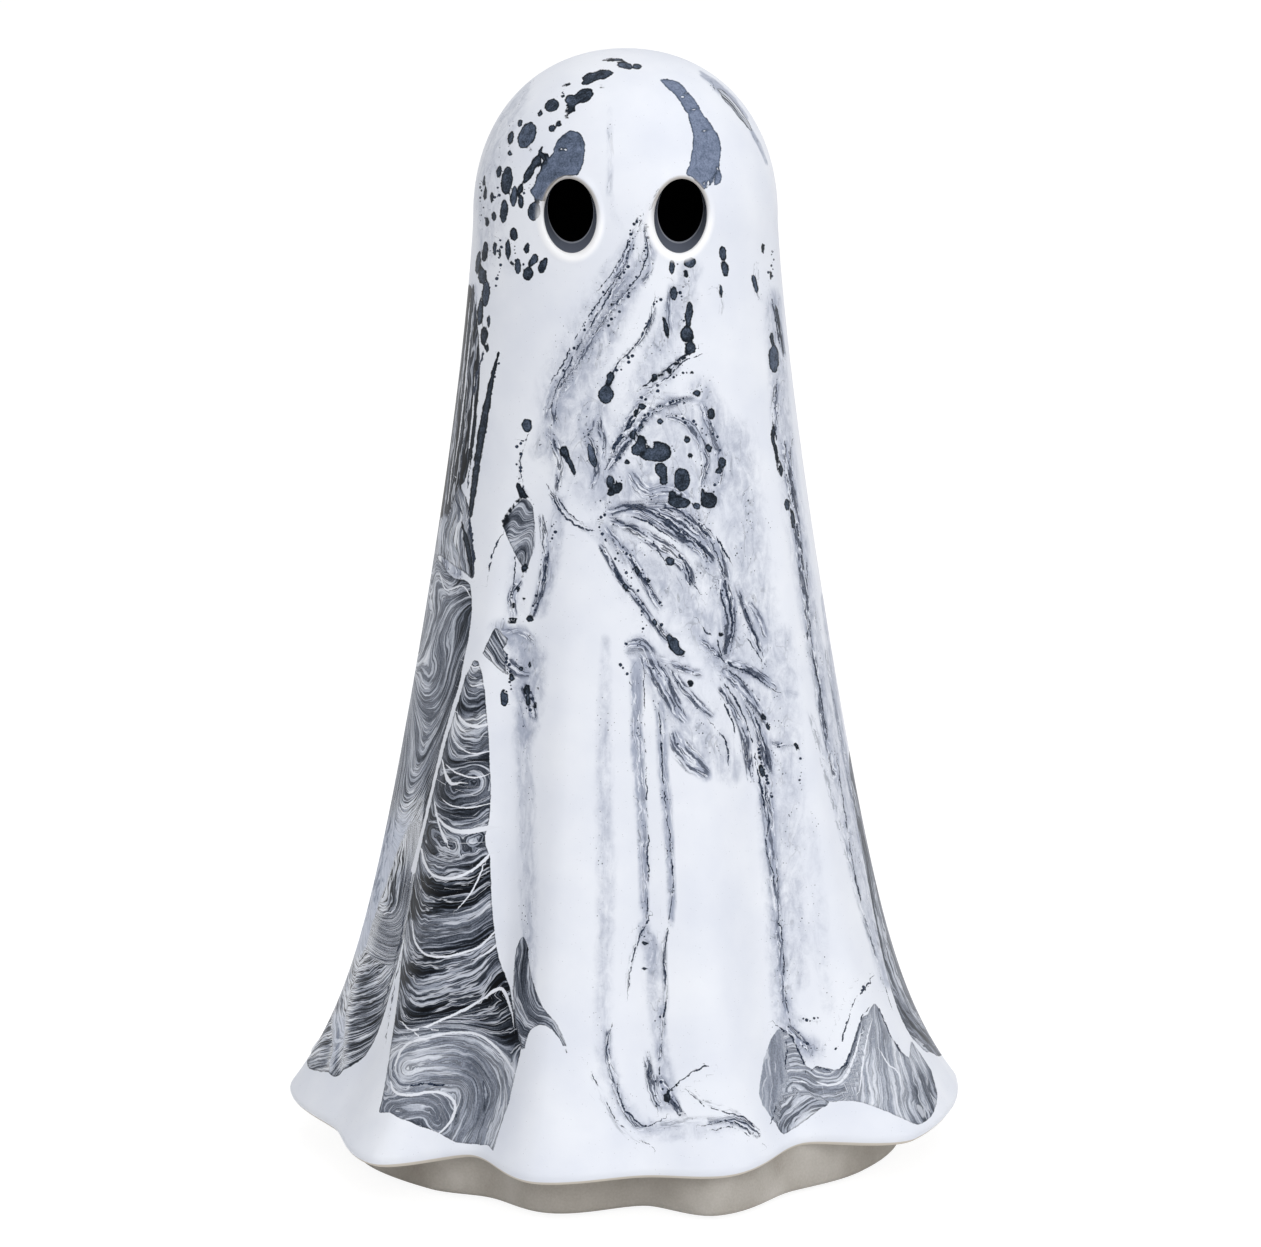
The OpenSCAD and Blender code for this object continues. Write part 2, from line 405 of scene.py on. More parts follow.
# What the net's points carry, and the sizes that the drape's tree takes as named inputs.
NET_FIELDS = ("bearing", "crown", "fall", "lip", "under", "inside", "depth")
RULE_FIELDS = NET_FIELDS + ("crest", "hang")
DRAPE_SIZES = {
    "Head radius": HEAD_R, "Dome height": DOME_H, "Dome power": DOME_POWER,
    "Shoulder height": SHOULDER_Z, "Hem height": HEM_H, "Spread": DRAPE_SPREAD,
    "Spread power": DRAPE_POWER, "Flare": HEM_FLARE, "Flare power": FLARE_POWER,
    "Fold depth": FOLD_DEPTH, "Fold start": FOLD_START, "Fold power": FOLD_POWER,
    "Lip radius": LIP_R, "Lip angle": LIP_ANGLE, "Hem wave": HEM_WAVE, "Wall": WALL,
    "Overhang": HEM_OVERHANG, "Seat height": SEAT_Z, "Seat gap": SEAT_GAP,
    "Foot wall": FOOT_WALL,
}


def drape_place(known):
    """The drape's rule: the place of the net's points, from their fields and the sizes."""
    (head_r, dome_h, dome_power, shoulder_z, hem_h, spread, spread_power, flare, flare_power,
     fold_depth, fold_start, fold_power, lip_r, lip_0, hem_wave, wall, overhang, seat_z,
     seat_gap, foot_wall) = (known[name] for name in DRAPE_SIZES)
    bearing, crown, fall, lip, under, inside, depth, crest, hang = (
        known[name] for name in RULE_FIELDS)
    bearing, crown, lip, lip_0 = (angle.math("RADIANS") for angle in (bearing, crown, lip, lip_0))
    sin_0, cos_0 = lip_0.math("SINE"), lip_0.math("COSINE")
    dome_share = 2 / dome_power
    out = crown.math("SINE") ** dome_share
    up = crown.math("COSINE").math("MAXIMUM", 0) ** dome_share

    # How far the drape has spread, flared and folded at this fall.
    folded = ((fall - fold_start) / (1 - fold_start)).math("MAXIMUM", 0).math("MINIMUM", 1)
    draped = (fall ** spread_power * spread + fall ** flare_power * flare
              + folded ** fold_power * fold_depth * crest)

    # The skin, with the lip's roll from its top edge down and under.
    span = shoulder_z - hem_h
    drop = span - (sin_0 * lip_r + lip_r)
    skin_r = head_r * out + draped + (lip.math("COSINE") - cos_0) * lip_r
    skin_z = (up * dome_h + shoulder_z - fall * (crest * hem_wave + drop)
              + (lip.math("SINE") - sin_0) * lip_r)

    # The hollow keeps one wall inside the skin and runs down straight into the foot.
    slope = (fall ** (spread_power - 1) * spread_power * spread
             + fall ** (flare_power - 1) * flare_power * flare) / span
    thicker = (slope * slope + 1).math("SQRT") - 1
    hem_edge = head_r + (spread + flare) + fold_depth * crest + (1 - cos_0) * lip_r
    foot_edge = hem_edge - overhang * hang
    inner_r = ((head_r - wall) * out + draped - thicker * wall).math(
        "MINIMUM", foot_edge - foot_wall)
    inner_z = up * (dome_h - wall) + shoulder_z - fall * drop

    # One of the three, by where the net's point lies.
    r = skin_r + (foot_edge + seat_gap - skin_r) * under
    z = skin_z + (seat_z - skin_z) * under
    r = r + (inner_r - r) * inside
    z = z + (inner_z - z) * inside
    return r * bearing.math("SINE"), depth - r * bearing.math("COSINE"), z


def new_tree(name, sizes):
    """A geometry tree with a geometry input and output and named size inputs."""
    tree = bpy.data.node_groups.new(name, "GeometryNodeTree")
    tree.interface.new_socket("Geometry", in_out="INPUT", socket_type="NodeSocketGeometry")
    tree.interface.new_socket("Geometry", in_out="OUTPUT", socket_type="NodeSocketGeometry")
    for size in sizes:
        tree.interface.new_socket(size, in_out="INPUT", socket_type="NodeSocketFloat")
    group_in = tree.nodes.new("NodeGroupInput")
    return tree, group_in.outputs["Geometry"], {s: Term(tree, group_in.outputs[s]) for s in sizes}


def finish_tree(tree, geometry, material):
    """Ends a tree in smooth shading, real geometry and its material."""
    smooth = add_node(tree, "GeometryNodeSetShadeSmooth", {"Geometry": geometry})
    real = add_node(tree, "GeometryNodeRealizeInstances", {"Geometry": smooth})
    finished = add_node(tree, "GeometryNodeSetMaterial", {"Geometry": real, "Material": material})
    add_node(tree, "NodeGroupOutput", {"Geometry": finished})


def make_shell(material):
    """The draped shell: the net goes through the drape's rule and comes out as a plain mesh."""
    place, faces = drape_net()
    net = new_mesh("shell_net", np.zeros((len(place), 3)), faces)
    bearings = place[:, 0]
    columns = (*place.T, fold_share(bearings, 1), fold_share(bearings, 2))
    for name, values in zip(RULE_FIELDS, columns):
        set_field(net.data, name, values)

    tree, geometry, known = new_tree("drape", DRAPE_SIZES)
    for name in RULE_FIELDS:
        known[name] = Term(tree, add_node(tree, "GeometryNodeInputNamedAttribute", {"Name": name},
                                          data_type="FLOAT"))
    place_mm = add_node(tree, "ShaderNodeCombineXYZ", dict(enumerate(drape_place(known))))
    place_m = add_node(tree, "ShaderNodeVectorMath", {0: place_mm, "Scale": MM}, operation="SCALE")
    moved = add_node(tree, "GeometryNodeSetPosition",
                     {"Geometry": geometry, "Position": place_m.outputs["Vector"]})
    finish_tree(tree, moved, material)
    return formed(net, "draped_shell", tree, DRAPE_SIZES)


def make_foot(material):
    """The bare foot: a fluted ring with a rounded lower edge and a floor with a round opening."""
    bearings = np.arange(0, 360, 1.25)
    lip_back = LIP_R * (1 - math.cos(math.radians(LIP_ANGLE)))
    edge = (HEM_R + FOLD_DEPTH * fold_share(bearings, 1) + lip_back
            - HEM_OVERHANG * fold_share(bearings, 2))
    hollow, low = edge - FOOT_WALL, edge - FOOT_ROUND
    # The opening's edges are worn, and a cove joins the floor to the wall.
    worn, cove, cove_bend = 0.5, 1.5, 0.4
    opening = OPENING_R + 0 * edge
    section = [(edge, z) for z in np.linspace(SEAT_Z, PAD_T + FOOT_ROUND, 7)]
    section += [(edge - FOOT_ROUND * (1 - math.cos(t)), PAD_T + FOOT_ROUND * (1 - math.sin(t)))
                for t in np.radians((18, 36, 54, 72, 90))]
    section += [(low + (opening + worn - low) * t, PAD_T) for t in (0.33, 0.67, 1)]
    section += [(opening, PAD_T + worn), (opening, FLOOR_Z - worn)]
    section += [(opening + worn + (hollow - cove - opening - worn) * t, FLOOR_Z)
                for t in (0, 0.5, 1)]
    section += [(hollow - cove_bend, FLOOR_Z + cove_bend), (hollow, FLOOR_Z + cove),
                (hollow, SEAT_Z)]
    turn = np.radians(bearings)
    points = [(r[i] * math.sin(turn[i]) * MM, -r[i] * math.cos(turn[i]) * MM, z * MM)
              for i in range(len(turn)) for r, z in section]
    n, rows = len(section), len(turn)
    faces = []
    for i in range(rows):
        a, b = i * n, (i + 1) % rows * n
        faces += [(a + j, a + (j + 1) % n, b + (j + 1) % n, b + j) for j in range(n)]
    foot = new_mesh("fluted_foot", points, faces)
    foot.data.materials.append(material)
    foot.data.shade_smooth()
    foot.data.set_sharp_from_angle(angle=math.radians(SHARP_TURN))
    return foot


def make_pads(material):
    """Soft pads set out round the foot, each a disc with a rounded lower edge."""
    sizes = {"Ring radius": PAD_RING_R * MM, "Bearing": math.radians(PAD_BEARING)}
    tree, geometry, known = new_tree("pads", sizes)
    ring = add_node(tree, "GeometryNodeMeshCircle",
                    {"Vertices": PAD_COUNT, "Radius": known["Ring radius"]})
    spin = add_node(tree, "ShaderNodeCombineXYZ", {2: known["Bearing"] - math.radians(90)})
    turned = add_node(tree, "GeometryNodeTransform", {"Geometry": ring, "Rotation": spin})
    placed = add_node(tree, "GeometryNodeInstanceOnPoints",
                      {"Points": turned, "Instance": geometry})
    finish_tree(tree, placed, material)

    steps, r, top_round = 56, PAD_D / 2, 0.1
    section = ((r / 2, 0), (r - PAD_ROUND, 0), (r - PAD_ROUND * 0.3, PAD_ROUND * 0.3),
               (r, PAD_ROUND), (r, PAD_T - top_round), (r - top_round, PAD_T), (r / 2, PAD_T))
    turn = np.radians(np.arange(steps) * 360 / steps)
    points = [(x * math.cos(t) * MM, x * math.sin(t) * MM, z * MM)
              for t in turn for x, z in section]
    points += [(0, 0, 0), (0, 0, PAD_T * MM)]
    n = len(section)
    faces = []
    for i in range(steps):
        a, b = i * n, (i + 1) % steps * n
        faces += [(a + k, b + k, b + k + 1, a + k + 1) for k in range(n - 1)]
        faces += [(steps * n, b, a), (steps * n + 1, a + n - 1, b + n - 1)]
    return formed(new_mesh("pad_disc", points, faces), "foot_pads", tree, sizes)


# The marbling's fields.

# Past this bearing a side runs on unrolled, so that marks go on round it.
UNROLL_FROM = math.radians(65)
# Distances in pixels that stand for nowhere near: of a path, of a mark and of beads.
NO_PATH, NO_MARK, NO_BEAD = 1e3, 60.0, 30


def seen(points, turn):
    """Pixels of the frame at which points in millimetres show, with the figure turned by
    some degrees, and their bearings in degrees."""
    b = np.degrees(np.arctan2(points[:, 0], -points[:, 1])) - turn
    b = np.radians((b + 180) % 360 - 180)
    radius = np.hypot(points[:, 0], points[:, 1])
    over = np.maximum(np.abs(b) - UNROLL_FROM, 0)
    sine = np.sin(np.minimum(np.abs(b), UNROLL_FROM)) + math.cos(UNROLL_FROM) * over
    across, near = radius * np.sign(b) * sine, radius * np.cos(b)
    rise = points[:, 2] - AIM_Z
    depth = VIEW_DISTANCE - near * math.cos(VIEW_TILT) - rise * math.sin(VIEW_TILT)
    high = rise * math.cos(VIEW_TILT) - near * math.sin(VIEW_TILT)
    focal = PX_PER_MM * VIEW_DISTANCE
    return AIM_X_PX + focal * across / depth, AIM_Y_PX - focal * high / depth, np.degrees(b)


def corner_path(places):
    """A closed path with straight sides through places, for outlines that have corners."""
    p = np.reshape(places, (-1, 2)).astype(float)
    return np.concatenate([p, p[:1]])


def smooth_path(places, closed=False, steps=6):
    """A smooth path through places, as short straight pieces."""
    p = np.reshape(places, (-1, 2)).astype(float)
    if closed:
        p = np.concatenate([p[-1:], p, p[:2]])
    else:
        p = np.concatenate([2 * p[:1] - p[1:2], p, 2 * p[-1:] - p[-2:-1]])
    path = []
    for a, b, c, d in zip(p[:-3], p[1:-2], p[2:-1], p[3:]):
        for t in np.arange(steps) / steps:
            path.append(0.5 * (2 * b + (c - a) * t + (2 * a - 5 * b + 4 * c - d) * t * t
                               + (3 * b - a - 3 * c + d) * t ** 3))
    path.append(p[-2])
    return np.array(path)


def lengths(path):
    return np.hypot(*(path[1:] - path[:-1]).T)


def along(x, y, path, reach=np.inf):
    """Distance of points to a path, the same with its side as a sign, and the share of the
    path passed. Points further off than reach are left far away."""
    distance, across, share = np.full(len(x), NO_PATH), np.full(len(x), NO_PATH), np.zeros(len(x))
    low, high = path.min(axis=0) - reach, path.max(axis=0) + reach
    close = np.flatnonzero((x > low[0]) & (x < high[0]) & (y > low[1]) & (y < high[1]))
    px, py = x[close], y[close]
    best, side, passed = distance[close], across[close], share[close]
    steps = lengths(path)
    whole = max(steps.sum(), 1e-6)
    before = 0
    for (ax, ay), (bx, by), length in zip(path[:-1], path[1:], steps):
        if length < 1e-9:
            continue
        ux, uy = (bx - ax) / length, (by - ay) / length
        t = np.clip((px - ax) * ux + (py - ay) * uy, 0, length)
        d = np.hypot(px - ax - t * ux, py - ay - t * uy)
        nearer = d < best
        best = np.where(nearer, d, best)
        side = np.where(nearer, d * np.where((px - ax) * uy - (py - ay) * ux < 0, -1, 1), side)
        passed = np.where(nearer, (before + t) / whole, passed)
        before += length
    distance[close], across[close], share[close] = best, side, passed
    return distance, across, share


def inside_outline(x, y, path):
    """Signed distance to a closed path, below zero inside it."""
    distance, _, _ = along(x, y, path, 120)
    odd = np.zeros(len(x), bool)
    for (ax, ay), (bx, by) in zip(path[:-1], path[1:]):
        if ay != by:
            odd ^= ((ay > y) != (by > y)) & (x < (bx - ax) * (y - ay) / (by - ay) + ax)
    return np.where(odd, -distance, distance)


def oval(x, y, cx, cy, w, h, tilt=0):
    """Signed distance to an oval that leans right by tilt degrees."""
    t = math.radians(tilt)
    u = (x - cx) * math.cos(t) + (y - cy) * math.sin(t)
    v = -(x - cx) * math.sin(t) + (y - cy) * math.cos(t)
    q = np.hypot(u / (w / 2), v / (h / 2))
    steep = np.hypot(u / (w / 2) ** 2, v / (h / 2) ** 2)
    return np.where(q < 0.2, -min(w, h) / 2, (q - 1) * q / np.maximum(steep, 1e-6))


def ease(t):
    t = np.clip(t, 0, 1)
    return t * t * (3 - 2 * t)


# Places below are pixels of the photograph's frame, as read off it. A spot is its centre, width,
# height and lean. Other rows run on as x, y, x, y or as x, y, width, x, y, width.
FRONT_SPOTS = (
    # crown and left side of the head
    (613, 60, 20, 3), (625, 66, 17, 7, 10), (637, 67, 10, 6), (598, 76, 32, 10, -12),
    (588, 82, 14, 6, -20), (603, 87, 8, 3), (584, 96, 20, 14, -20), (572, 101, 15, 11, 10),
    (570, 110, 12, 5), (552, 106, 15, 13, -30), (540, 114, 6, 6), (567, 85, 10, 3, -20),
    (563, 97, 5, 5), (559, 124, 6, 6), (552, 129, 8, 8), (567, 117, 6, 4), (527, 136, 17, 28, 25),
    (520, 124, 5, 8, 10), (511, 138, 6, 13, 10), (510, 153, 5, 7), (540, 161, 21, 12, -40),
    (529, 174, 9, 21, 28), (534, 212, 13, 20, 8), (520, 190, 6, 12, 20), (541, 150, 4, 8, 30),
    (531, 152, 5, 4), (507, 181, 12, 28, 5), (514, 197, 7, 22, 5), (521, 202, 6, 14),
    (504, 212, 8, 24, 5), (494, 217, 5, 10), (487, 222, 5, 10), (492, 198, 4, 11),
    (485, 194, 4, 13), (483, 182, 4, 12), (514, 235, 8, 14, -10), (508, 250, 6, 20),
    (527, 249, 6, 12, 20), (534, 260, 9, 14, 25), (543, 266, 9, 17, 25), (528, 274, 11, 14, 20),
    (518, 267, 7, 16), (512, 263, 5, 5), (495, 249, 4, 13), (500, 253, 3, 10),
    (499, 172, 5, 12, 10),
    # chain down the left edge
    (485, 252, 7, 20, 8), (477, 263, 7, 22, 8), (482, 276, 10, 16), (486, 294, 8, 26, 4),
    (480, 313, 7, 26, 5), (489, 321, 4, 12, 5), (484, 336, 8, 18, 5), (487, 349, 4, 8),
    (470, 300, 5, 30, 4), (466, 330, 6, 34, 5),
    # right of the head
    (690, 263, 12, 11), (686, 274, 6, 8), (672, 268, 5, 15), (674, 294, 8, 15, 5),
    (723, 254, 8, 15), (725, 270, 8, 14, -8), (721, 292, 4, 14), (666, 328, 5, 24, -12),
    (689, 314, 8, 24, 5), (687, 335, 14, 17), (691, 348, 11, 13, -30), (763, 249, 3, 11),
    (755, 284, 5, 20, -12), (771, 275, 3, 10),
    # the band of spots on the chest
    (606, 395, 16, 19), (610, 378, 9, 13, 20), (527, 426, 11, 14, -10), (697, 394, 8, 8),
    (711, 414, 8, 12), (660, 422, 7, 7), (641, 427, 6, 5), (633, 435, 7, 9, 20),
    (642, 407, 9, 6, 10), (636, 414, 6, 7, 20), (641, 441, 12, 9), (640, 449, 20, 12, -25),
    (655, 455, 32, 14), (662, 448, 22, 10, 20), (627, 462, 7, 6), (661, 470, 13, 13),
    (664, 481, 10, 9), (682, 480, 17, 24), (672, 492, 7, 6), (679, 503, 24, 12, 8),
    (709, 501, 17, 16), (697, 507, 9, 8), (722, 463, 9, 11), (719, 472, 8, 5), (709, 449, 8, 9),
    (610, 481, 9, 11), (617, 489, 9, 15, 40), (611, 493, 8, 7), (564, 452, 10, 11),
    (571, 465, 5, 24, -22), (592, 456, 8, 26, -14), (703, 495, 5, 12), (690, 456, 5, 9, 15),
    (687, 440, 7, 8), (670, 562, 11, 9), (525, 567, 8, 7), (637, 571, 5, 11, -15),
    (626, 588, 6, 9, -20), (648, 581, 4, 8, -20),
    # the lower band and single marks
    (674, 644, 12, 14, -20), (680, 653, 14, 6, 10), (669, 636, 7, 7), (691, 684, 7, 7),
    (655, 623, 5, 8, -20), (797, 747, 5, 9, -20), (763, 716, 8, 5, 20), (768, 728, 4, 10, -20),
    (721, 634, 6, 6), (646, 944, 9, 4, 15), (645, 969, 7, 4), (667, 1098, 9, 10, 20),
    (655, 1105, 4, 5), (505, 700, 8, 14, 10), (512, 678, 7, 8), (528, 700, 5, 12),
    (514, 606, 5, 6), (530, 619, 9, 7), (512, 621, 12, 6, -10), (762, 771, 6, 14, -15),
    (768, 799, 3, 3), (760, 756, 6, 5), (671, 374, 3, 3), (692, 373, 5, 4), (612, 306, 5, 5),
    (655, 377, 7, 6), (773, 435, 4, 20, 5),
    # the right edge
    (774, 359, 11, 28), (772, 338, 4, 11), (779, 318, 4, 24, -10), (783, 340, 3, 30, -10),
    (787, 505, 6, 12), (781, 470, 4, 14), (793, 520, 5, 18, -5),
    # specks below the notch
    (521, 669, 5, 6), (530, 665, 4, 7, 20), (503, 694, 6, 9, 20), (527, 690, 7, 11, 10),
    (535, 706, 5, 6), (519, 712, 4, 4), (538, 690, 4, 5), (524, 600, 4, 5), (518, 590, 5, 6),
    (522, 576, 6, 5),
)
# The two large patches over the eyes: tone and outline.
FRONT_PATCHES = (
    (0.55, 554, 147, 560, 138, 570, 131, 580, 134, 585, 144, 585, 156, 583, 166, 577, 176, 564,
     177, 555, 183, 548, 192, 544, 204, 537, 201, 530, 193, 534, 184, 538, 175, 543, 167, 547, 160,
     552, 155),
    (0.78, 659, 80, 667, 80, 676, 81, 683, 86, 689, 93, 696, 101, 701, 111, 707, 119, 713, 128,
     719, 138, 721, 148, 721, 158, 719, 168, 722, 176, 721, 183, 716, 186, 711, 185, 704, 190, 698,
     184, 692, 178, 686, 175, 689, 166, 691, 156, 693, 146, 693, 136, 691, 126, 687, 114, 682, 105,
     676, 96, 668, 89),
)
# Solid dark ribbons: places and widths.
FRONT_RIBBONS = (
    (499, 352, 2, 493, 375, 5, 486, 410, 8, 480, 445, 7, 475, 480, 7, 470, 519, 3),
    (478, 396, 1, 474, 430, 4, 470, 470, 1),
    (461, 520, 1, 466, 540, 5, 470, 560, 5, 472, 578, 1),
    (529, 942, 1, 526, 960, 1),
    (692, 351, 5, 678, 363, 4, 664, 374, 3, 648, 384, 4, 637, 391, 2),
    (517, 484, 4, 524, 496, 7, 530, 500, 2),
    (524, 494, 4, 514, 506, 3, 502, 523, 3),
    (669, 1092, 3, 678, 1085, 3, 690, 1073, 3, 705, 1065, 2),
    (773, 440, 3, 776, 452, 4, 778, 470, 2),
)
# Hairline cracks of bare white that part the spots: width and places.
FRONT_CRACKS = (
    (1.6, 524, 205, 533, 201, 542, 203, 552, 208),
    (1.4, 637, 458, 647, 448, 652, 440),
    (1.8, 678, 344, 685, 341, 698, 338),
    (1.8, 704, 184, 712, 181, 716, 174, 718, 167),
    (1.3, 556, 141, 562, 139, 568, 140),
    (1.3, 559, 151, 564, 149, 566, 151),
    (1.5, 545, 158, 538, 168, 534, 180),
    (1.3, 532, 176, 534, 184, 528, 192),
    (1.2, 688, 92, 682, 98),
    (1.2, 697, 108, 690, 112),
    (1.2, 711, 128, 703, 132),
)
# Bundles of fine threads: strength, then places and widths.
FRONT_THREADS = (
    (0.75, 641, 215, 4, 634, 238, 8, 624, 262, 10, 612, 284, 6),
    (0.8, 645, 222, 3, 648, 245, 5, 651, 268, 7, 640, 286, 5),
    (0.4, 630, 270, 8, 612, 295, 20, 596, 325, 24, 582, 352, 26, 566, 380, 26, 552, 402, 22, 545,
     430, 12),
    (0.85, 640, 282, 4, 622, 298, 8, 606, 318, 8, 592, 340, 10, 578, 364, 10, 562, 386, 8, 553,
     408, 8, 557, 430, 8),
    (0.6, 655, 300, 4, 651, 322, 7, 640, 342, 6, 624, 358, 7, 613, 374, 6, 603, 402, 10, 592, 428,
     9, 582, 442, 5),
    (0.6, 672, 285, 6, 668, 310, 8, 672, 335, 5),
    (0.7, 684, 355, 8, 668, 370, 9, 650, 380, 6),
    (0.6, 705, 296, 3, 716, 288, 5, 722, 300, 6, 720, 320, 3),
    (0.95, 699, 398, 2, 672, 403, 4, 650, 415, 8, 634, 433, 13, 620, 452, 12, 605, 474, 4),
    (0.5, 686, 366, 4, 660, 384, 5, 640, 402, 8, 622, 430, 9, 608, 458, 6),
    (0.5, 700, 400, 6, 707, 420, 12, 716, 444, 12, 722, 470, 10, 718, 490, 6),
    (0.55, 662, 415, 8, 685, 422, 14, 700, 440, 16, 706, 462, 14, 700, 490, 8),
    (0.5, 628, 470, 8, 645, 492, 26, 668, 490, 18, 690, 500, 10),
    (0.6, 548, 430, 8, 556, 446, 14, 560, 470, 10, 556, 495, 5),
    (0.6, 585, 432, 8, 594, 450, 14, 597, 472, 10, 590, 492, 4),
    (0.8, 526, 436, 2, 520, 460, 4, 521, 484, 4, 528, 500, 3),
    (0.9, 548, 486, 3, 560, 508, 6, 576, 524, 7, 592, 531, 3),
    (1, 604, 513, 4, 632, 508, 14, 656, 516, 22, 680, 530, 26, 700, 546, 22, 716, 566, 10),
    (0.8, 640, 505, 4, 664, 504, 8, 688, 516, 10, 706, 534, 12, 720, 556, 12, 728, 590, 8),
    (0.8, 606, 520, 5, 634, 530, 14, 660, 546, 20, 684, 566, 18, 694, 590, 8),
    (0.7, 604, 524, 4, 618, 544, 10, 636, 566, 12, 650, 592, 12, 662, 612, 6),
    (0.95, 598, 540, 3, 609, 560, 7, 622, 582, 7, 636, 598, 8, 650, 618, 8, 668, 640, 12, 686, 660,
     6),
    (0.9, 722, 574, 8, 729, 604, 17, 730, 634, 16, 724, 660, 8),
    (0.85, 736, 582, 3, 744, 606, 8, 752, 630, 8, 762, 656, 5),
    (0.5, 748, 600, 4, 760, 620, 10, 766, 640, 6),
    (0.8, 700, 640, 3, 712, 650, 9, 722, 660, 6),
    (0.72, 722, 662, 6, 744, 668, 14, 762, 678, 14, 778, 692, 4),
    (0.74, 720, 668, 6, 738, 684, 14, 752, 702, 16, 766, 728, 8),
    (0.68, 716, 684, 5, 730, 704, 9, 742, 728, 12, 748, 758, 12, 752, 788, 6),
    (0.62, 744, 700, 6, 756, 722, 12, 764, 748, 18, 772, 776, 8),
    (0.45, 772, 700, 3, 786, 692, 6, 800, 696, 5),
    (0.45, 768, 742, 14, 782, 746, 10, 796, 746, 5),
    (0.5, 758, 770, 14, 766, 800, 18, 770, 836, 16, 774, 876, 14, 778, 916, 12, 781, 956, 10, 784,
     996, 10, 790, 1024, 12),
    (0.75, 624, 650, 14, 640, 646, 24, 650, 660, 26, 664, 684, 24, 676, 708, 18, 688, 726, 8),
    (0.36, 637, 660, 16, 636, 700, 16, 640, 750, 15, 643, 806, 15, 644, 860, 15, 646, 918, 12),
    (0.32, 652, 690, 8, 660, 720, 14, 662, 760, 14, 668, 800, 14, 671, 850, 12, 673, 900, 10, 668,
     930, 6),
    (0.75, 667, 925, 5, 664, 960, 6, 665, 1000, 7, 661, 1040, 6, 659, 1066, 5),
    (0.55, 672, 728, 8, 680, 748, 30, 694, 764, 32, 712, 778, 8),
    (0.7, 622, 652, 6, 650, 656, 10, 680, 668, 12, 706, 676, 6),
    (0.6, 662, 656, 6, 680, 684, 12, 700, 706, 14, 716, 720, 8),
    (0.75, 784, 440, 6, 790, 476, 12, 796, 520, 12, 801, 556, 6),
    (0.6, 604, 392, 6, 598, 420, 10, 604, 444, 10, 600, 466, 6),
    (0.7, 720, 730, 2, 728, 746, 3, 727, 764, 3),
    (0.75, 647, 922, 5, 637, 942, 6, 630, 966, 4, 628, 994, 3),
    (0.3, 648, 930, 8, 656, 950, 16, 650, 975, 6),
    (0.7, 646, 1050, 8, 650, 1078, 13, 656, 1102, 14, 664, 1112, 6),
    (0.9, 658, 1076, 4, 668, 1094, 12, 676, 1106, 12, 682, 1118, 4),
    (0.6, 610, 1024, 6, 607, 1050, 8, 614, 1080, 12, 622, 1106, 10, 638, 1128, 8, 660, 1121, 4),
    (0.75, 586, 1062, 2, 598, 1090, 3, 612, 1118, 4, 630, 1138, 5, 652, 1146, 4),
    (0.4, 640, 1130, 10, 672, 1124, 16, 702, 1118, 8, 736, 1116, 6),
    (0.6, 686, 1088, 4, 704, 1102, 7, 728, 1110, 7, 744, 1116, 6),
    (0.9, 706, 1124, 5, 728, 1120, 11, 748, 1126, 13, 761, 1138, 5),
    (0.35, 609, 126, 5, 612, 160, 9, 609, 198, 5),
    (0.6, 660, 188, 4, 654, 204, 7, 650, 214, 4),
    (0.65, 541, 510, 8, 545, 550, 12, 541, 590, 12, 530, 622, 8),
    (0.75, 522, 578, 5, 512, 596, 12, 514, 620, 10),
    (0.6, 500, 528, 3, 490, 548, 4, 486, 580, 4),
    (0.42, 500, 634, 14, 520, 632, 16, 536, 644, 8),
    (0.6, 506, 660, 16, 518, 672, 18, 532, 676, 10),
    (0.75, 522, 684, 10, 530, 700, 14, 534, 722, 10),
    (0.22, 524, 724, 18, 526, 800, 24, 528, 900, 24, 530, 1000, 16),
    (0.16, 603, 700, 16, 604, 800, 20, 606, 900, 20, 602, 1000, 16, 606, 1030, 10),
    (0.5, 520, 500, 10, 528, 530, 20, 532, 560, 10),
    (0.8, 812, 600, 5, 810, 640, 6, 818, 690, 7, 826, 735, 6, 838, 790, 4),
    (0.8, 798, 545, 9, 806, 600, 6, 812, 650, 5, 822, 700, 4),
    (0.5, 806, 700, 3, 816, 735, 4, 830, 790, 7, 846, 850, 8, 862, 910, 8, 884, 975, 6),
    (0.45, 828, 640, 8, 838, 700, 9, 850, 760, 9, 862, 820, 6),
    (0.8, 773, 300, 3, 782, 330, 6, 788, 360, 4),
    (0.7, 777, 380, 5, 774, 410, 8, 776, 436, 6),
    (0.7, 757, 260, 4, 756, 286, 6, 760, 302, 4),
    (0.8, 800, 1018, 4, 812, 1020, 5, 822, 1022, 3),
    (0.6, 786, 1024, 8, 800, 1040, 14, 812, 1052, 8),
    (0.6, 442, 515, 8, 440, 545, 10, 446, 580, 8),
    (0.55, 452, 540, 6, 456, 562, 8, 462, 580, 6),
)
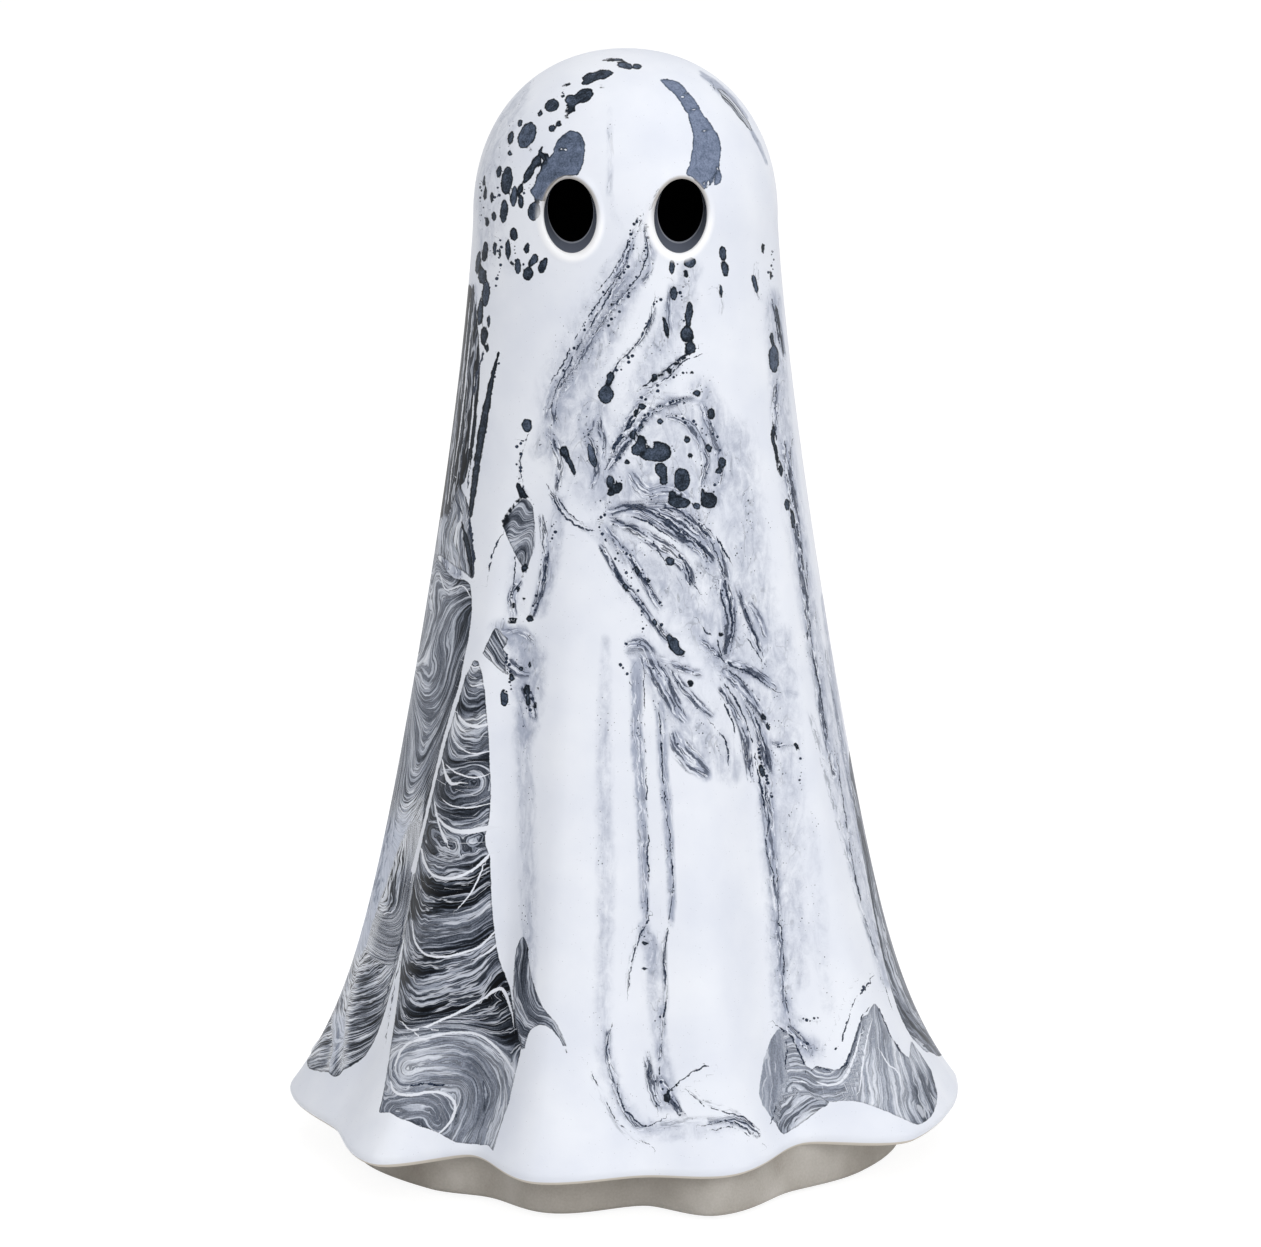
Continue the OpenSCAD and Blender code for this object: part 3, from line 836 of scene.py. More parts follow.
# Soft smoke without threads, the same way. The bands down the folds' grooves, down the right fold
# and down the left of the head are partly smoke and partly painted shade.
FRONT_SMOKE_AND_SHADE = (
    (0.5, 650, 250, 30, 610, 320, 60, 570, 390, 70, 545, 450, 50),
    (0.35, 690, 300, 40, 640, 400, 90, 600, 480, 70),
    (0.45, 560, 430, 60, 600, 470, 90, 660, 470, 90, 715, 480, 60),
    (0.5, 600, 530, 40, 650, 570, 70, 700, 620, 80, 760, 720, 70),
    (0.45, 640, 650, 50, 680, 710, 70, 730, 770, 50),
    (0.16, 640, 700, 56, 650, 850, 56, 655, 1000, 46, 655, 1090, 54),
    (0.34, 524, 500, 36, 516, 600, 40, 520, 700, 40, 528, 850, 34, 530, 1020, 26),
    (0.42, 650, 430, 110, 690, 450, 120, 690, 490, 100),
    (0.5, 768, 760, 40, 776, 900, 40, 788, 1030, 40, 812, 1050, 44),
    (0.36, 606, 640, 20, 604, 760, 34, 606, 900, 38, 606, 1060, 36, 650, 1130, 40, 740, 1125, 30),
    (0.3, 812, 820, 24, 820, 940, 40, 830, 1010, 30),
    (0.42, 780, 640, 56, 786, 740, 60, 792, 860, 56, 798, 980, 44),
    (0.46, 735, 440, 70, 742, 520, 80, 756, 600, 70, 770, 680, 50),
    (0.38, 630, 250, 44, 590, 320, 70, 556, 390, 70, 560, 470, 50),
    (0.5, 590, 410, 70, 600, 470, 90, 640, 500, 110, 700, 500, 80),
    (0.5, 700, 390, 50, 722, 440, 50, 716, 500, 40),
    (0.3, 610, 520, 60, 650, 600, 100, 690, 680, 110, 740, 760, 60),
    (0.5, 690, 270, 40, 668, 330, 50, 640, 380, 40),
    (0.4, 600, 390, 70, 580, 430, 84, 590, 480, 84, 630, 520, 60),
    (0.46, 640, 400, 50, 690, 420, 66, 720, 470, 60, 700, 520, 50),
    (0.5, 640, 500, 40, 690, 530, 70, 725, 600, 60, 740, 680, 60, 760, 740, 50),
    (0.5, 560, 500, 24, 552, 560, 34, 540, 610, 30),
    (0.58, 500, 630, 36, 526, 650, 60, 528, 700, 52, 524, 740, 36),
    (0.5, 644, 926, 24, 652, 960, 36, 660, 1040, 30, 668, 1100, 40),
    (0.5, 776, 300, 40, 784, 420, 40, 800, 540, 40, 822, 680, 34, 850, 820, 34, 890, 980, 36),
    (0.55, 470, 290, 24, 462, 400, 30, 452, 520, 34, 450, 590, 34),
    (0.25, 610, 110, 14, 612, 210, 16, 640, 240, 20),
    (0.3, 500, 170, 24, 500, 230, 30, 510, 270, 30),
    (0.4, 520, 90, 40, 496, 140, 64, 486, 190, 60, 486, 260, 40),
    (0.66, 637, 664, 20, 637, 740, 20, 642, 830, 18, 645, 915, 14),
    (0.62, 661, 705, 16, 663, 760, 18, 667, 820, 18, 671, 880, 15, 672, 925, 10),
    (0.6, 680, 740, 30, 694, 760, 34, 706, 776, 22),
    (0.6, 834, 600, 20, 842, 680, 26, 852, 760, 26, 866, 850, 20),
    (0.75, 704, 75, 12, 716, 84, 20, 732, 98, 22, 748, 118, 14),
    (0.75, 753, 132, 9, 762, 146, 10, 770, 164, 8),
)
# Outlines of the combed panels.
COMB_LEFT = (
    474, 660, 479, 662, 482, 674, 485, 692, 487, 715, 489, 742, 490, 768, 491, 792, 490, 812, 489,
    824, 485, 836, 486, 846, 490, 856, 491, 880, 492, 905, 494, 925, 496, 945, 500, 962, 505, 975,
    510, 988, 512, 1000, 514, 1012, 517, 1024, 519, 1036, 522, 1046, 519, 1058, 516, 1072, 513,
    1085, 509, 1103, 503, 1120, 497, 1138, 493, 1152, 489, 1146, 480, 1145, 470, 1144, 456, 1143,
    440, 1134, 428, 1129, 420, 1127, 410, 1122, 400, 1119, 390, 1113, 379, 1113, 383, 1095, 387,
    1072, 391, 1045, 395, 1015, 399, 985, 402, 955, 406, 925, 411, 895, 417, 865, 424, 832, 431,
    802, 439, 768, 447, 738, 455, 712, 462, 688, 468, 670)
COMB_OUTER = (
    440, 563, 448, 573, 456, 579, 464, 580, 470, 585, 472, 602, 471, 622, 468, 642, 464, 660, 460,
    682, 452, 708, 444, 736, 436, 768, 429, 798, 422, 828, 415, 860, 409, 886, 402, 910, 396, 932,
    389, 957, 382, 982, 374, 1006, 366, 1028, 357, 1048, 347, 1064, 337, 1076, 327, 1074, 319,
    1064, 311, 1056, 290, 1050, 262, 1042, 240, 1000, 262, 930, 300, 850, 318, 760, 346, 690, 352,
    620, 384, 584, 396, 560, 420, 556)
COMB_SPIKE = (
    524, 937, 527, 944, 529, 960, 532, 978, 537, 994, 543, 1008, 549, 1015, 556, 1023, 562, 1034,
    566, 1045, 567, 1054, 561, 1042, 553, 1031, 545, 1026, 537, 1026, 530, 1032, 526, 1042, 524,
    1052, 520, 1040, 516, 1024, 514, 1006, 513, 990, 514, 970, 516, 952, 520, 940)
COMB_LEAF = (
    779, 1028, 785, 1034, 787, 1050, 787, 1066, 789, 1080, 780, 1092, 776, 1108, 773, 1121, 769,
    1114, 762, 1104, 759, 1094, 761, 1076, 765, 1056, 772, 1037)
COMB_TROUGH = (
    781, 1031, 786, 1033, 791, 1036, 797, 1045, 802, 1056, 806, 1066, 812, 1070, 820, 1067, 828,
    1068, 836, 1071, 844, 1066, 849, 1055, 854, 1040, 858, 1026, 862, 1018, 869, 1013, 874, 1004,
    868, 1030, 862, 1060, 856, 1084, 850, 1102, 840, 1101, 830, 1103, 815, 1098, 796, 1092, 786,
    1096, 779, 1108, 777, 1122, 773, 1120, 776, 1106, 779, 1092, 785, 1080, 784, 1064, 784, 1048)
COMB_ARCS = (
    776, 1126, 779, 1108, 785, 1094, 796, 1088, 815, 1094, 834, 1102, 820, 1109, 808, 1119, 795,
    1128, 783, 1136)
COMB_FAN = (
    874, 1002, 879, 1008, 884, 1020, 890, 1034, 897, 1046, 905, 1055, 910, 1058, 912, 1046, 914,
    1040, 919, 1046, 925, 1053, 932, 1063, 937, 1070, 939, 1084, 940, 1094, 937, 1106, 931, 1117,
    924, 1123, 917, 1125, 905, 1120, 890, 1113, 875, 1107, 860, 1102, 845, 1100, 838, 1100, 846,
    1086, 854, 1064, 860, 1040, 866, 1018)
COMB_EDGE = (
    859, 790, 862, 820, 868, 855, 875, 893, 882, 935, 890, 974, 900, 1008, 913, 1034, 925, 1045,
    935, 1052, 944, 1052, 962, 1056, 990, 1050, 1010, 1020, 1002, 960, 964, 920, 958, 850, 920,
    800, 890, 760, 868, 750, 858, 766)
COMB_TEMPLE = (
    717, 89, 724, 90, 733, 98, 743, 110, 751, 122, 755, 132, 749, 129, 743, 122, 737, 116, 731,
    107, 724, 101, 721, 95)
COMB_STREAK = (
    466, 286, 475, 306, 479, 340, 480, 370, 478, 400, 474, 430, 470, 460, 465, 480, 458, 490, 452,
    500, 447, 514, 436, 518, 418, 508, 406, 470, 410, 420, 424, 370, 438, 320, 452, 290)
COMB_SHOULDER = (
    456, 486, 463, 492, 468, 504, 471, 522, 473, 548, 474, 578, 464, 572, 454, 566, 446, 560, 438,
    556, 428, 556, 410, 556, 418, 530, 430, 514, 446, 516, 452, 502)
COMB_DIAMOND = (
    525, 497, 514, 507, 502, 524, 508, 540, 516, 556, 526, 574, 533, 552, 535, 526, 533, 506)
COMB_NOTCH = (
    496, 628, 490, 638, 486, 646, 483, 654, 489, 660, 496, 667, 503, 673, 509, 675, 505, 666, 509,
    657, 503, 650, 509, 641, 503, 635)
# White and dark strokes drawn through the panels: places and widths, dark below zero.
FRONT_STROKES = (
    (472, 662, 1.6, 463, 682, 2, 455, 705, 2.2, 448, 728, 2.4, 441, 752, 2.6, 436, 772, 2.6, 430,
     800, 2.8, 424, 826, 3, 418, 850, 4, 413, 872, 6),
    (442, 760, 1.4, 445, 772, 2.4, 450, 783, 5, 457, 784, 3),
    (443, 762, 1, 452, 770, 1.8, 464, 776, 2, 476, 778, 2, 488, 775, 1),
    (434, 796, 1, 436, 812, 1.8, 440, 828, 2.4, 446, 842, 4),
    (399, 985, 1, 394, 1020, 2, 389, 1050, 2, 384, 1085, 1),
    (469, 664, 1.6, 474, 668, 2, 480, 666, 1.6),
    (464, 680, 1.4, 472, 686, 1.8, 483, 684, 1.4),
    (459, 716, 2, 466, 724, 3, 476, 727, 4, 487, 725, 3),
    (455, 742, 1, 466, 752, 1.6, 478, 754, 1.6, 488, 752, 1.2),
    (421, 848, 2, 425, 864, 3, 433, 875, 3, 446, 879, 3.4, 461, 876, 3.4, 476, 868, 3, 488, 857,
     4),
    (483, 868, 2, 476, 884, 1.8, 469, 896, 1.8, 459, 908, 1),
    (439, 797, 1, 452, 806, 1.6, 470, 808, 2, 490, 804, 1),
    (433, 812, 1, 448, 828, 4, 466, 832, 6, 489, 828, 6),
    (412, 920, 1, 414, 938, 2, 420, 950, 2.6, 430, 956, 2.8, 446, 957, 2.8, 466, 952, 2.6, 481,
     946, 2.4, 496, 931, 2),
    (499, 943, 3, 490, 951, 3, 477, 959, 1),
    (402, 1022, 1, 410, 1030, 3, 424, 1028, 3, 445, 1019, 3, 465, 1010, 3.4, 480, 1001, 3),
    (484, 999, 2, 496, 990, 4, 503, 990, 4, 508, 1000, 3, 512, 1014, 2, 514, 1026, 1),
    (395, 1066, 2, 401, 1051, 3, 412, 1042, 3, 430, 1037, 2.6, 455, 1033, 2.6, 475, 1034, 3, 490,
     1042, 3.2, 503, 1055, 3.4, 514, 1072, 2),
    (390, 1080, 2, 393, 1090, 3, 401, 1095, 3.4, 416, 1095, 3.4, 431, 1092, 3, 446, 1095, 3.4, 454,
     1102, 3.6, 455, 1112, 3.4, 449, 1124, 3, 440, 1134, 2),
    (412, 1086, -2, 430, 1084, -3, 448, 1086, -2),
    (781, 1104, 1.6, 783, 1090, 2.2, 790, 1083, 2.6, 800, 1081, 2.4, 812, 1085, 1),
    (859, 1092, 1, 862, 1070, 2, 866, 1044, 2, 873, 1016, 1),
    (812, 1080, 1.6, 830, 1086, 2.6, 844, 1078, 3, 853, 1060, 2.6, 860, 1036, 1.6),
    (880, 1050, 1, 888, 1064, 1.6, 898, 1072, 1.6, 902, 1090, 1),
    (438, 575, 1.4, 446, 590, 1.8, 462, 586, 1.8, 470, 596, 1),
    (471, 315, 1, 467, 350, 1.8, 462, 400, 2, 457, 440, 1.8, 453, 465, 1),
    (477, 332, 1.4, 475, 370, 2.6, 473, 410, 2.6, 469, 450, 1.6),
    (447, 470, 0.8, 453, 476, 1.2, 459, 482, 0.8),
    (466, 300, 1, 461, 350, 1.8, 457, 400, 1),
    (475, 400, 1, 472, 430, 2, 466, 465, 2, 461, 486, 1),
    (450, 452, 1, 447, 480, 1.8, 444, 506, 1),
)
# Thin dark lines on the white: places and widths.
FRONT_LINES = (
    (634, 222, 1, 626, 248, 1.6, 612, 274, 2, 600, 290, 1),
    (643, 214, 1, 647, 240, 2, 646, 262, 1.6, 632, 286, 1),
    (628, 262, 1, 608, 298, 1.6, 588, 330, 2, 572, 360, 1.8, 558, 386, 1.4, 550, 408, 1),
    (622, 272, 1, 600, 302, 1.4, 578, 334, 1.6, 566, 358, 1.6, 551, 384, 1),
    (654, 300, 1, 650, 320, 2, 634, 348, 1.4, 618, 364, 2, 608, 384, 1),
    (694, 350, 2, 680, 360, 2.4, 664, 371, 2, 650, 382, 1.6, 640, 390, 1),
    (698, 356, 1, 682, 364, 1.8, 668, 378, 1.6, 652, 386, 1),
    (644, 404, 2, 634, 414, 2.4, 625, 430, 3, 614, 448, 2.4, 606, 468, 1),
    (640, 412, 1, 628, 428, 2, 617, 446, 1.6, 609, 462, 1),
    (527, 436, 1, 522, 452, 1.6, 521, 472, 1.6, 524, 492, 2.4, 530, 500, 2),
    (561, 452, 3, 568, 462, 3.4, 573, 474, 1.6),
    (547, 484, 1, 556, 504, 1.6, 568, 520, 2, 582, 529, 2.4, 593, 531, 2),
    (555, 492, 1, 566, 510, 1.6, 580, 522, 1),
    (623, 516, 1, 640, 520, 2.4, 660, 530, 2, 676, 542, 1),
    (634, 510, 1, 652, 512, 2, 668, 520, 2.4, 684, 534, 3.6, 702, 548, 3, 708, 560, 1),
    (626, 510, 1, 646, 505, 2, 666, 503, 1.4),
    (616, 520, 1, 630, 528, 1.4, 646, 536, 1.4, 656, 548, 2, 664, 562, 1),
    (645, 508, 1, 664, 508, 2, 688, 522, 2, 706, 540, 1),
    (656, 508, 1, 676, 510, 1.6, 700, 528, 2, 714, 548, 1.6, 720, 566, 1),
    (706, 528, 2.4, 716, 538, 1.8, 724, 550, 3, 730, 560, 1.6),
    (672, 544, 1, 682, 560, 2.4, 690, 578, 2, 698, 590, 1.4),
    (602, 546, 1, 612, 564, 2, 622, 582, 2.4, 629, 592, 2),
    (632, 560, 1.4, 640, 574, 4, 650, 588, 1.4),
    (724, 576, 2, 728, 600, 2, 732, 622, 3, 730, 640, 2),
    (719, 582, 1, 724, 604, 2, 728, 622, 1.6),
    (738, 590, 1, 746, 612, 2, 754, 634, 2, 762, 654, 2),
    (748, 640, 1, 756, 652, 1.6, 764, 664, 1),
    (700, 624, 1.4, 706, 632, 2, 716, 640, 1.4, 722, 656, 2),
    (718, 656, 1.4, 732, 666, 2.4, 748, 672, 2, 764, 684, 1.8, 776, 692, 1),
    (722, 668, 1.4, 736, 676, 1.8, 752, 690, 1.6, 760, 704, 1),
    (718, 676, 1.4, 732, 694, 2, 742, 714, 1.8, 750, 736, 2, 756, 760, 1.2),
    (730, 684, 1, 746, 700, 1.6, 756, 718, 2, 764, 744, 1.8, 768, 770, 1.4),
    (716, 690, 1.4, 726, 708, 2, 734, 726, 1.6, 740, 750, 1),
    (644, 664, 0.8, 644, 700, 1.2, 645, 750, 1, 647, 800, 1.4, 648, 850, 1.2, 648, 900, 1.6, 648,
     922, 1),
    (659, 702, 1, 661, 740, 1.6, 664, 790, 1, 670, 840, 1, 673, 890, 1.4, 668, 926, 1),
    (668, 930, 1.4, 664, 960, 1.4, 666, 1000, 2, 661, 1050, 1.4, 659, 1074, 1),
    (648, 922, 2, 638, 942, 1.8, 631, 966, 1.2, 629, 992, 1),
    (756, 766, 1.4, 763, 796, 2.4, 766, 820, 1),
    (766, 790, 1.6, 768, 820, 1.6, 766, 846, 1.4, 772, 872, 1.6, 778, 910, 1),
    (776, 860, 1, 779, 900, 1.4, 783, 950, 1, 786, 1000, 1.4, 790, 1022, 1),
    (712, 724, 1, 726, 742, 2, 728, 764, 2),
    (587, 1064, 1, 602, 1094, 1.2, 620, 1124, 1.4, 650, 1146, 1.2),
    (611, 1026, 1, 607, 1052, 1.4, 616, 1084, 1.2, 624, 1108, 2, 644, 1126, 2, 662, 1120, 1),
    (648, 1056, 1, 650, 1084, 1.6, 657, 1108, 1),
    (668, 1094, 1.6, 678, 1084, 1.2, 692, 1073, 1.4, 706, 1067, 2),
    (690, 1094, 1, 706, 1106, 1.4, 728, 1113, 1.4, 748, 1120, 1.8, 760, 1138, 1),
    (704, 1126, 1, 724, 1122, 1.6, 744, 1128, 1.6, 760, 1142, 1),
    (714, 1130, 1, 732, 1128, 1.4, 750, 1136, 1),
    (808, 560, 1.4, 808, 600, 1.6, 812, 650, 2, 820, 692, 2.4, 828, 740, 1),
    (800, 540, 1.4, 806, 590, 1.8, 808, 640, 1),
    (838, 760, 1, 848, 830, 1.2, 860, 896, 1.4, 878, 964, 1.2, 892, 1006, 1),
    (868, 984, 2.4, 862, 992, 2, 855, 1000, 1.6, 850, 1014, 2, 845, 1030, 2.4, 840, 1044, 2.2, 832,
     1052, 1.8, 826, 1058, 1.4),
    (779, 1027, 2, 788, 1035, 2, 796, 1044, 2, 802, 1056, 2, 806, 1067, 1.6),
    (812, 1070, 2, 820, 1066, 2, 828, 1070, 2),
    (832, 1070, 1.6, 842, 1068, 2.4, 850, 1054, 2, 855, 1038, 2.4, 860, 1020, 2, 872, 1006, 1.6),
    (786, 1036, 1.4, 787, 1052, 2, 786, 1068, 2, 789, 1078, 2.4, 779, 1092, 1.6, 776, 1108, 1.6,
     772, 1120, 1.4),
    (876, 1004, 1.6, 884, 1020, 1.6, 892, 1038, 1.6, 902, 1052, 1.4),
    (407, 905, 1, 398, 950, 1.4, 386, 995, 1.2, 372, 1035, 1),
    (400, 960, 1, 392, 1000, 1.2, 386, 1040, 1),
    (476, 300, 1.4, 474, 340, 2, 469, 390, 2, 463, 440, 1.6, 458, 486, 1),
    (484, 350, 1.4, 476, 380, 2.6, 472, 415, 3, 471, 448, 3, 468, 480, 2.4, 464, 508, 1.4),
    (453, 488, 1.2, 456, 500, 1.6, 462, 512, 1.6, 466, 520, 1),
    (464, 492, 1.4, 468, 506, 2.4, 470, 524, 3.4, 473, 548, 3.4, 474, 574, 1),
    (501, 536, 1, 492, 556, 1.6, 488, 578, 1),
    (516, 552, 1.4, 514, 580, 1.4, 514, 600, 1),
    (548, 548, 1.4, 545, 572, 1.6, 540, 596, 1),
    (772, 300, 1.2, 777, 324, 2, 783, 350, 2, 785, 366, 1),
    (776, 384, 1.6, 773, 410, 2, 776, 440, 1.4),
    (784, 440, 1.2, 790, 480, 1.6, 798, 530, 1.6, 803, 556, 1),
    (794, 440, 1, 790, 470, 1.4, 796, 510, 1),
)
# Chains of beads: small round drops along a path.
FRONT_CHAINS = (
    (640, 214, 632, 236, 628, 262, 606, 292, 590, 320, 574, 350, 562, 384),
    (645, 222, 648, 246, 641, 272, 628, 292, 616, 314, 602, 334, 594, 352),
    (660, 296, 650, 318, 634, 350, 622, 368, 612, 378), (698, 398, 672, 402, 652, 412, 632, 432),
    (688, 372, 664, 384, 650, 396, 640, 398), (634, 436, 622, 452, 612, 470, 606, 480),
    (603, 498, 604, 512, 600, 522),
    (600, 520, 604, 534, 612, 548, 622, 566, 636, 592, 644, 620, 642, 646),
    (604, 536, 620, 548, 640, 570, 652, 590, 662, 610), (654, 620, 664, 632, 676, 648, 684, 660),
    (555, 526, 550, 545, 545, 560), (549, 560, 541, 588, 530, 618),
    (704, 400, 712, 424, 716, 444, 720, 468, 712, 494), (664, 418, 684, 420, 700, 430, 710, 446),
    (500, 640, 506, 660, 512, 680, 506, 704), (528, 690, 532, 704, 534, 720),
    (758, 742, 762, 760, 768, 790, 770, 806), (796, 744, 800, 770, 804, 790),
    (630, 640, 622, 660, 630, 680), (656, 1078, 666, 1096, 676, 1108, 684, 1118),
    (800, 1017, 810, 1019, 822, 1022), (788, 1022, 798, 1036, 808, 1048),
    (868, 984, 860, 994, 852, 1006), (478, 178, 480, 200, 484, 222),
    (503, 168, 500, 190, 494, 206), (512, 236, 516, 256, 524, 270), (498, 236, 500, 262, 492, 290),
    (545, 172, 532, 184, 524, 196), (566, 92, 556, 100, 545, 110), (520, 440, 519, 466, 522, 486),
    (499, 352, 490, 390, 482, 440), (690, 250, 676, 264, 668, 280), (684, 284, 682, 304, 686, 326),
    (778, 250, 772, 262, 770, 280), (612, 484, 610, 496, 604, 508),
)


def panel_fields(x, y):
    """The combed panels: signed distance to each, its flow, how pale it is and its mottle.

    The flow is a distance across the combed bands, so lines of one flow value are what a
    comb drawn through floating colour leaves behind.
    """
    panels = []

    def add(outline, flow, pale, mottle):
        panels.append((inside_outline(x, y, outline), flow, pale, mottle))

    # The inner left panel: sagging bands dragged up along its left border, with eyes in it.
    left = np.interp(y, (660, 712, 768, 832, 895, 955, 1045, 1113),
                     (470, 455, 439, 424, 411, 402, 391, 379))
    right = np.interp(y, (660, 740, 840, 945, 1000, 1046, 1085, 1150),
                      (478, 489, 489, 496, 512, 522, 513, 493))
    slope = np.interp(y, (660, 840, 920, 960, 1030), (0.0, 0.05, 0.2, 0.4, 0.45))
    wide = np.maximum(right - left, 12)
    level = (y + slope * (x - left)
             + 0.16 * wide * ease(1 - (right - x) / (0.3 * wide)) * (y < 1000))
    flow = level + (10 + 0.42 * wide) * np.exp(-np.maximum(x - left, 0) / (2.5 + 0.07 * wide))
    pale = np.interp(level, (
        660, 665, 671, 678, 684, 698, 706, 714, 718, 736, 742, 757, 762, 775, 792, 806, 813, 822,
        828, 835, 850, 864, 874, 880, 917, 921, 927, 940, 952, 958, 972, 984, 990, 1004, 1016,
        1024, 1036, 1052), (
        0.8, 0.4, 0.75, 0.4, 0.6, 0.54, 0.34, 0.54, 0.82, 0.7, 0.48, 0.6, 0.36, 0.38, 0.38, 0.52,
        0.34, 0.38, 0.78, 0.44, 0.4, 0.5, 0.5, 0.1, 0.1, 0.54, 0.6, 0.58, 0.5, 0.3, 0.14, 0.18,
        0.42, 0.42, 0.32, 0.2, 0.14, 0.14))
    for places, reach, eye_pale in (
            ((454, 787, 464, 785, 474, 783), 26, 0.5),
            ((436, 834, 442, 842, 452, 846), 20, 0.46),
            ((472, 842, 480, 838), 14, 0.42),
            ((408, 1068, 440, 1062, 468, 1066, 484, 1084, 484, 1112, 468, 1150), 50, 0.68),
            ((396, 1112, 412, 1108, 430, 1110, 438, 1122), 24, 0.6)):
        distance, _, _ = along(x, y, smooth_path(places), reach * 1.2)
        weight = ease((reach - distance) / (reach * 0.45))
        above = np.mean(places[1::2]) + 1.1 * reach
        flow = flow * (1 - weight) + (above - distance * 1.25) * weight
        pale = pale * (1 - weight) + eye_pale * weight
    add(corner_path(COMB_LEFT), flow, pale, -0.3 - 0.35 * ease((y - 1010) / 40))

    # The outer left panel: nested hanging loops above, arcs and mottling below.
    border = np.interp(y, (563, 602, 660, 768, 860, 932, 1006, 1076),
                       (462, 472, 464, 436, 415, 396, 374, 337))
    middle = np.interp(y, (563, 640, 700, 760, 860, 985, 1076),
                       (446, 442, 432, 421, 395, 358, 318))
    bend = np.interp(y, (563, 700, 790, 900, 1076), (0.2, 0.12, 0.1, 0.035, 0.03))
    flow = (y + bend * (x - middle) ** 2 + 50 * np.exp(-np.maximum(border - x, 0) / 7)
            + 5 * np.sin(y / 13 + x / 9))
    streams = (483 + 1.9 * (x - middle) + 0.3 * y + 12 * np.sin(y / 24)
               + 4 * np.sin(y / 9 + x / 7))
    folded = 663 + 1.1 * (y - 600) + 6 * np.sin((x - 0.3 * y) / 4.5)
    high, top = ease((730 - y) / 90), ease((618 - y) / 36)
    flow = (flow * (1 - high) + streams * high) * (1 - top) + folded * top
    pale = np.interp(y, (
        563, 600, 700, 720, 790, 815, 830, 880, 905, 925, 945, 962, 976, 1006, 1016, 1036, 1050,
        1076), (
        0.6, 0.6, 0.62, 0.54, 0.58, 0.66, 0.66, 0.56, 0.52, 0.92, 1.15, 1.0, 0.56, 0.5, 0.76,
        0.84, 0.54, 0.44))
    inward = ease((border - x - 6) / 14)
    mottle = inward * (ease((y - 800) / 40) * ease((965 - y) / 20) + ease((y - 1010) / 8) * 0.7)
    add(smooth_path(COMB_OUTER, closed=True, steps=4), flow, 0.38 + (pale - 0.38) * inward,
        mottle - 0.6 * ease((800 - y) / 40))

    # The lower right patch: a plain leaf, a trough of drawn bands and a fan under a peak.
    add(corner_path(COMB_LEAF), x, 0.56, -1.5)
    fan = (x - 872) / np.maximum(y - 950, 20) * 130
    pale = 0.72 - 0.3 * ease((x - 905) / 16) * ease((y - 1060) / 20)
    add(corner_path(COMB_FAN), fan + 300, pale, -0.9)
    _, across, _ = along(x, y, smooth_path((
        784, 1140, 781, 1112, 785, 1090, 796, 1082, 820, 1092, 842, 1088, 856, 1066, 864, 1036,
        874, 1000)))
    add(corner_path(COMB_TROUGH), across + 200, 0.7, -0.7)
    add(corner_path(COMB_ARCS), np.hypot(x - 822, (y - 1150) * 0.8), 0.62, -0.5)

    # The small agate on the chest: arcs nested round a point near its lower end.
    arcs = np.hypot((x - 521) * 1.5, y - 562) + 4 * np.sin((y + 2 * x) / 8)
    pale = 0.58 - 0.34 * ease((512 - x) / 6) + 0.14 * np.sin(arcs / 2.4)
    add(corner_path(COMB_DIAMOND), arcs * 1.7, pale, -0.5)

    # Panels whose bands run along a spine: outline, spine, paleness, mottle and how close the
    # bands lie.
    for outline, spine, pale, mottle, closeness in (
            (COMB_SPIKE, (523, 920, 523, 960, 526, 1000, 536, 1016, 552, 1024, 570, 1058),
             0.52, -0.5, 1.4),
            (COMB_EDGE, (800, 640, 850, 800, 875, 920, 910, 1010, 990, 1060), 0.46, -0.7, 1),
            (COMB_TEMPLE, (700, 70, 728, 90, 752, 118, 780, 160), 0.44, -0.1, 2.2),
            (COMB_STREAK, (476, 280, 470, 350, 462, 430, 450, 530), 0.16, 0.02, 1.7),
            (COMB_SHOULDER, (452, 488, 456, 510, 450, 540, 458, 590), 0.66, -0.3, 1.3),
            (COMB_NOTCH, (484, 630, 492, 648, 512, 672), 0.66, -0.1, 1.5)):
        _, across, _ = along(x, y, smooth_path(spine))
        add(smooth_path(outline, closed=True, steps=4), across * closeness + 200, pale, mottle)
    return panels


# How far from its path a mark is measured, in pixels, and the same for smoke with its painted
# shade and for beads.
MARK_REACH, SMOKE_AND_SHADE_REACH, BEAD_REACH = 60, 90, 40
# The narrowest bundle of threads that the net can carry, in pixels.
BUNDLE_LEAST = 9
# White strokes are laid a little narrower than they were read.
WHITE_SHARE = 0.85
# Each bundle and chain starts this much further on, so that no two look alike.
NEXT_BUNDLE, NEXT_CHAIN = 40, 300
# Where a bundle crosses another it gives up some of its strength.
CROSSED_SHARE = 0.6
# The glaze's fields: those that are 0 where no mark is near, those that then stand at
# NO_MARK_MM, those that the form gives, and those that are shares and not millimetres.
ZERO_FIELDS = ("ink_tone", "flow", "pale", "mottle", "thread", "thread_across", "thread_along",
               "smoke", "bead_along", "stroke0_width", "stroke1_width")
FAR_FIELDS = ("ink", "panel", "bead_across", "bead_far", "stroke0_across", "stroke1_across")
FORM_FIELDS = ("hole", "rim_shade", "rim_light", "bare")
SHARE_FIELDS = ("pale", "mottle", "thread", "smoke", "ink_tone")
NO_MARK_MM = 9.0
# Each of the two views is used up to this bearing.
VIEW_REACH = 128


def measured(x, y, row, reach=MARK_REACH, least=0):
    """A row of places and widths as points see it: their distance to its path, the same with
    its side as a sign, the share passed, the width there and the whole path's length."""
    places = np.reshape(row, (-1, 3)).astype(float)
    path = smooth_path(places[:, :2])
    distance, across, share = along(x, y, path, reach)
    widths = np.maximum(np.abs(places[:, 2]), least)
    width = np.interp(share, np.linspace(0, 1, len(widths)), widths)
    return distance, across, share, width, lengths(path).sum()


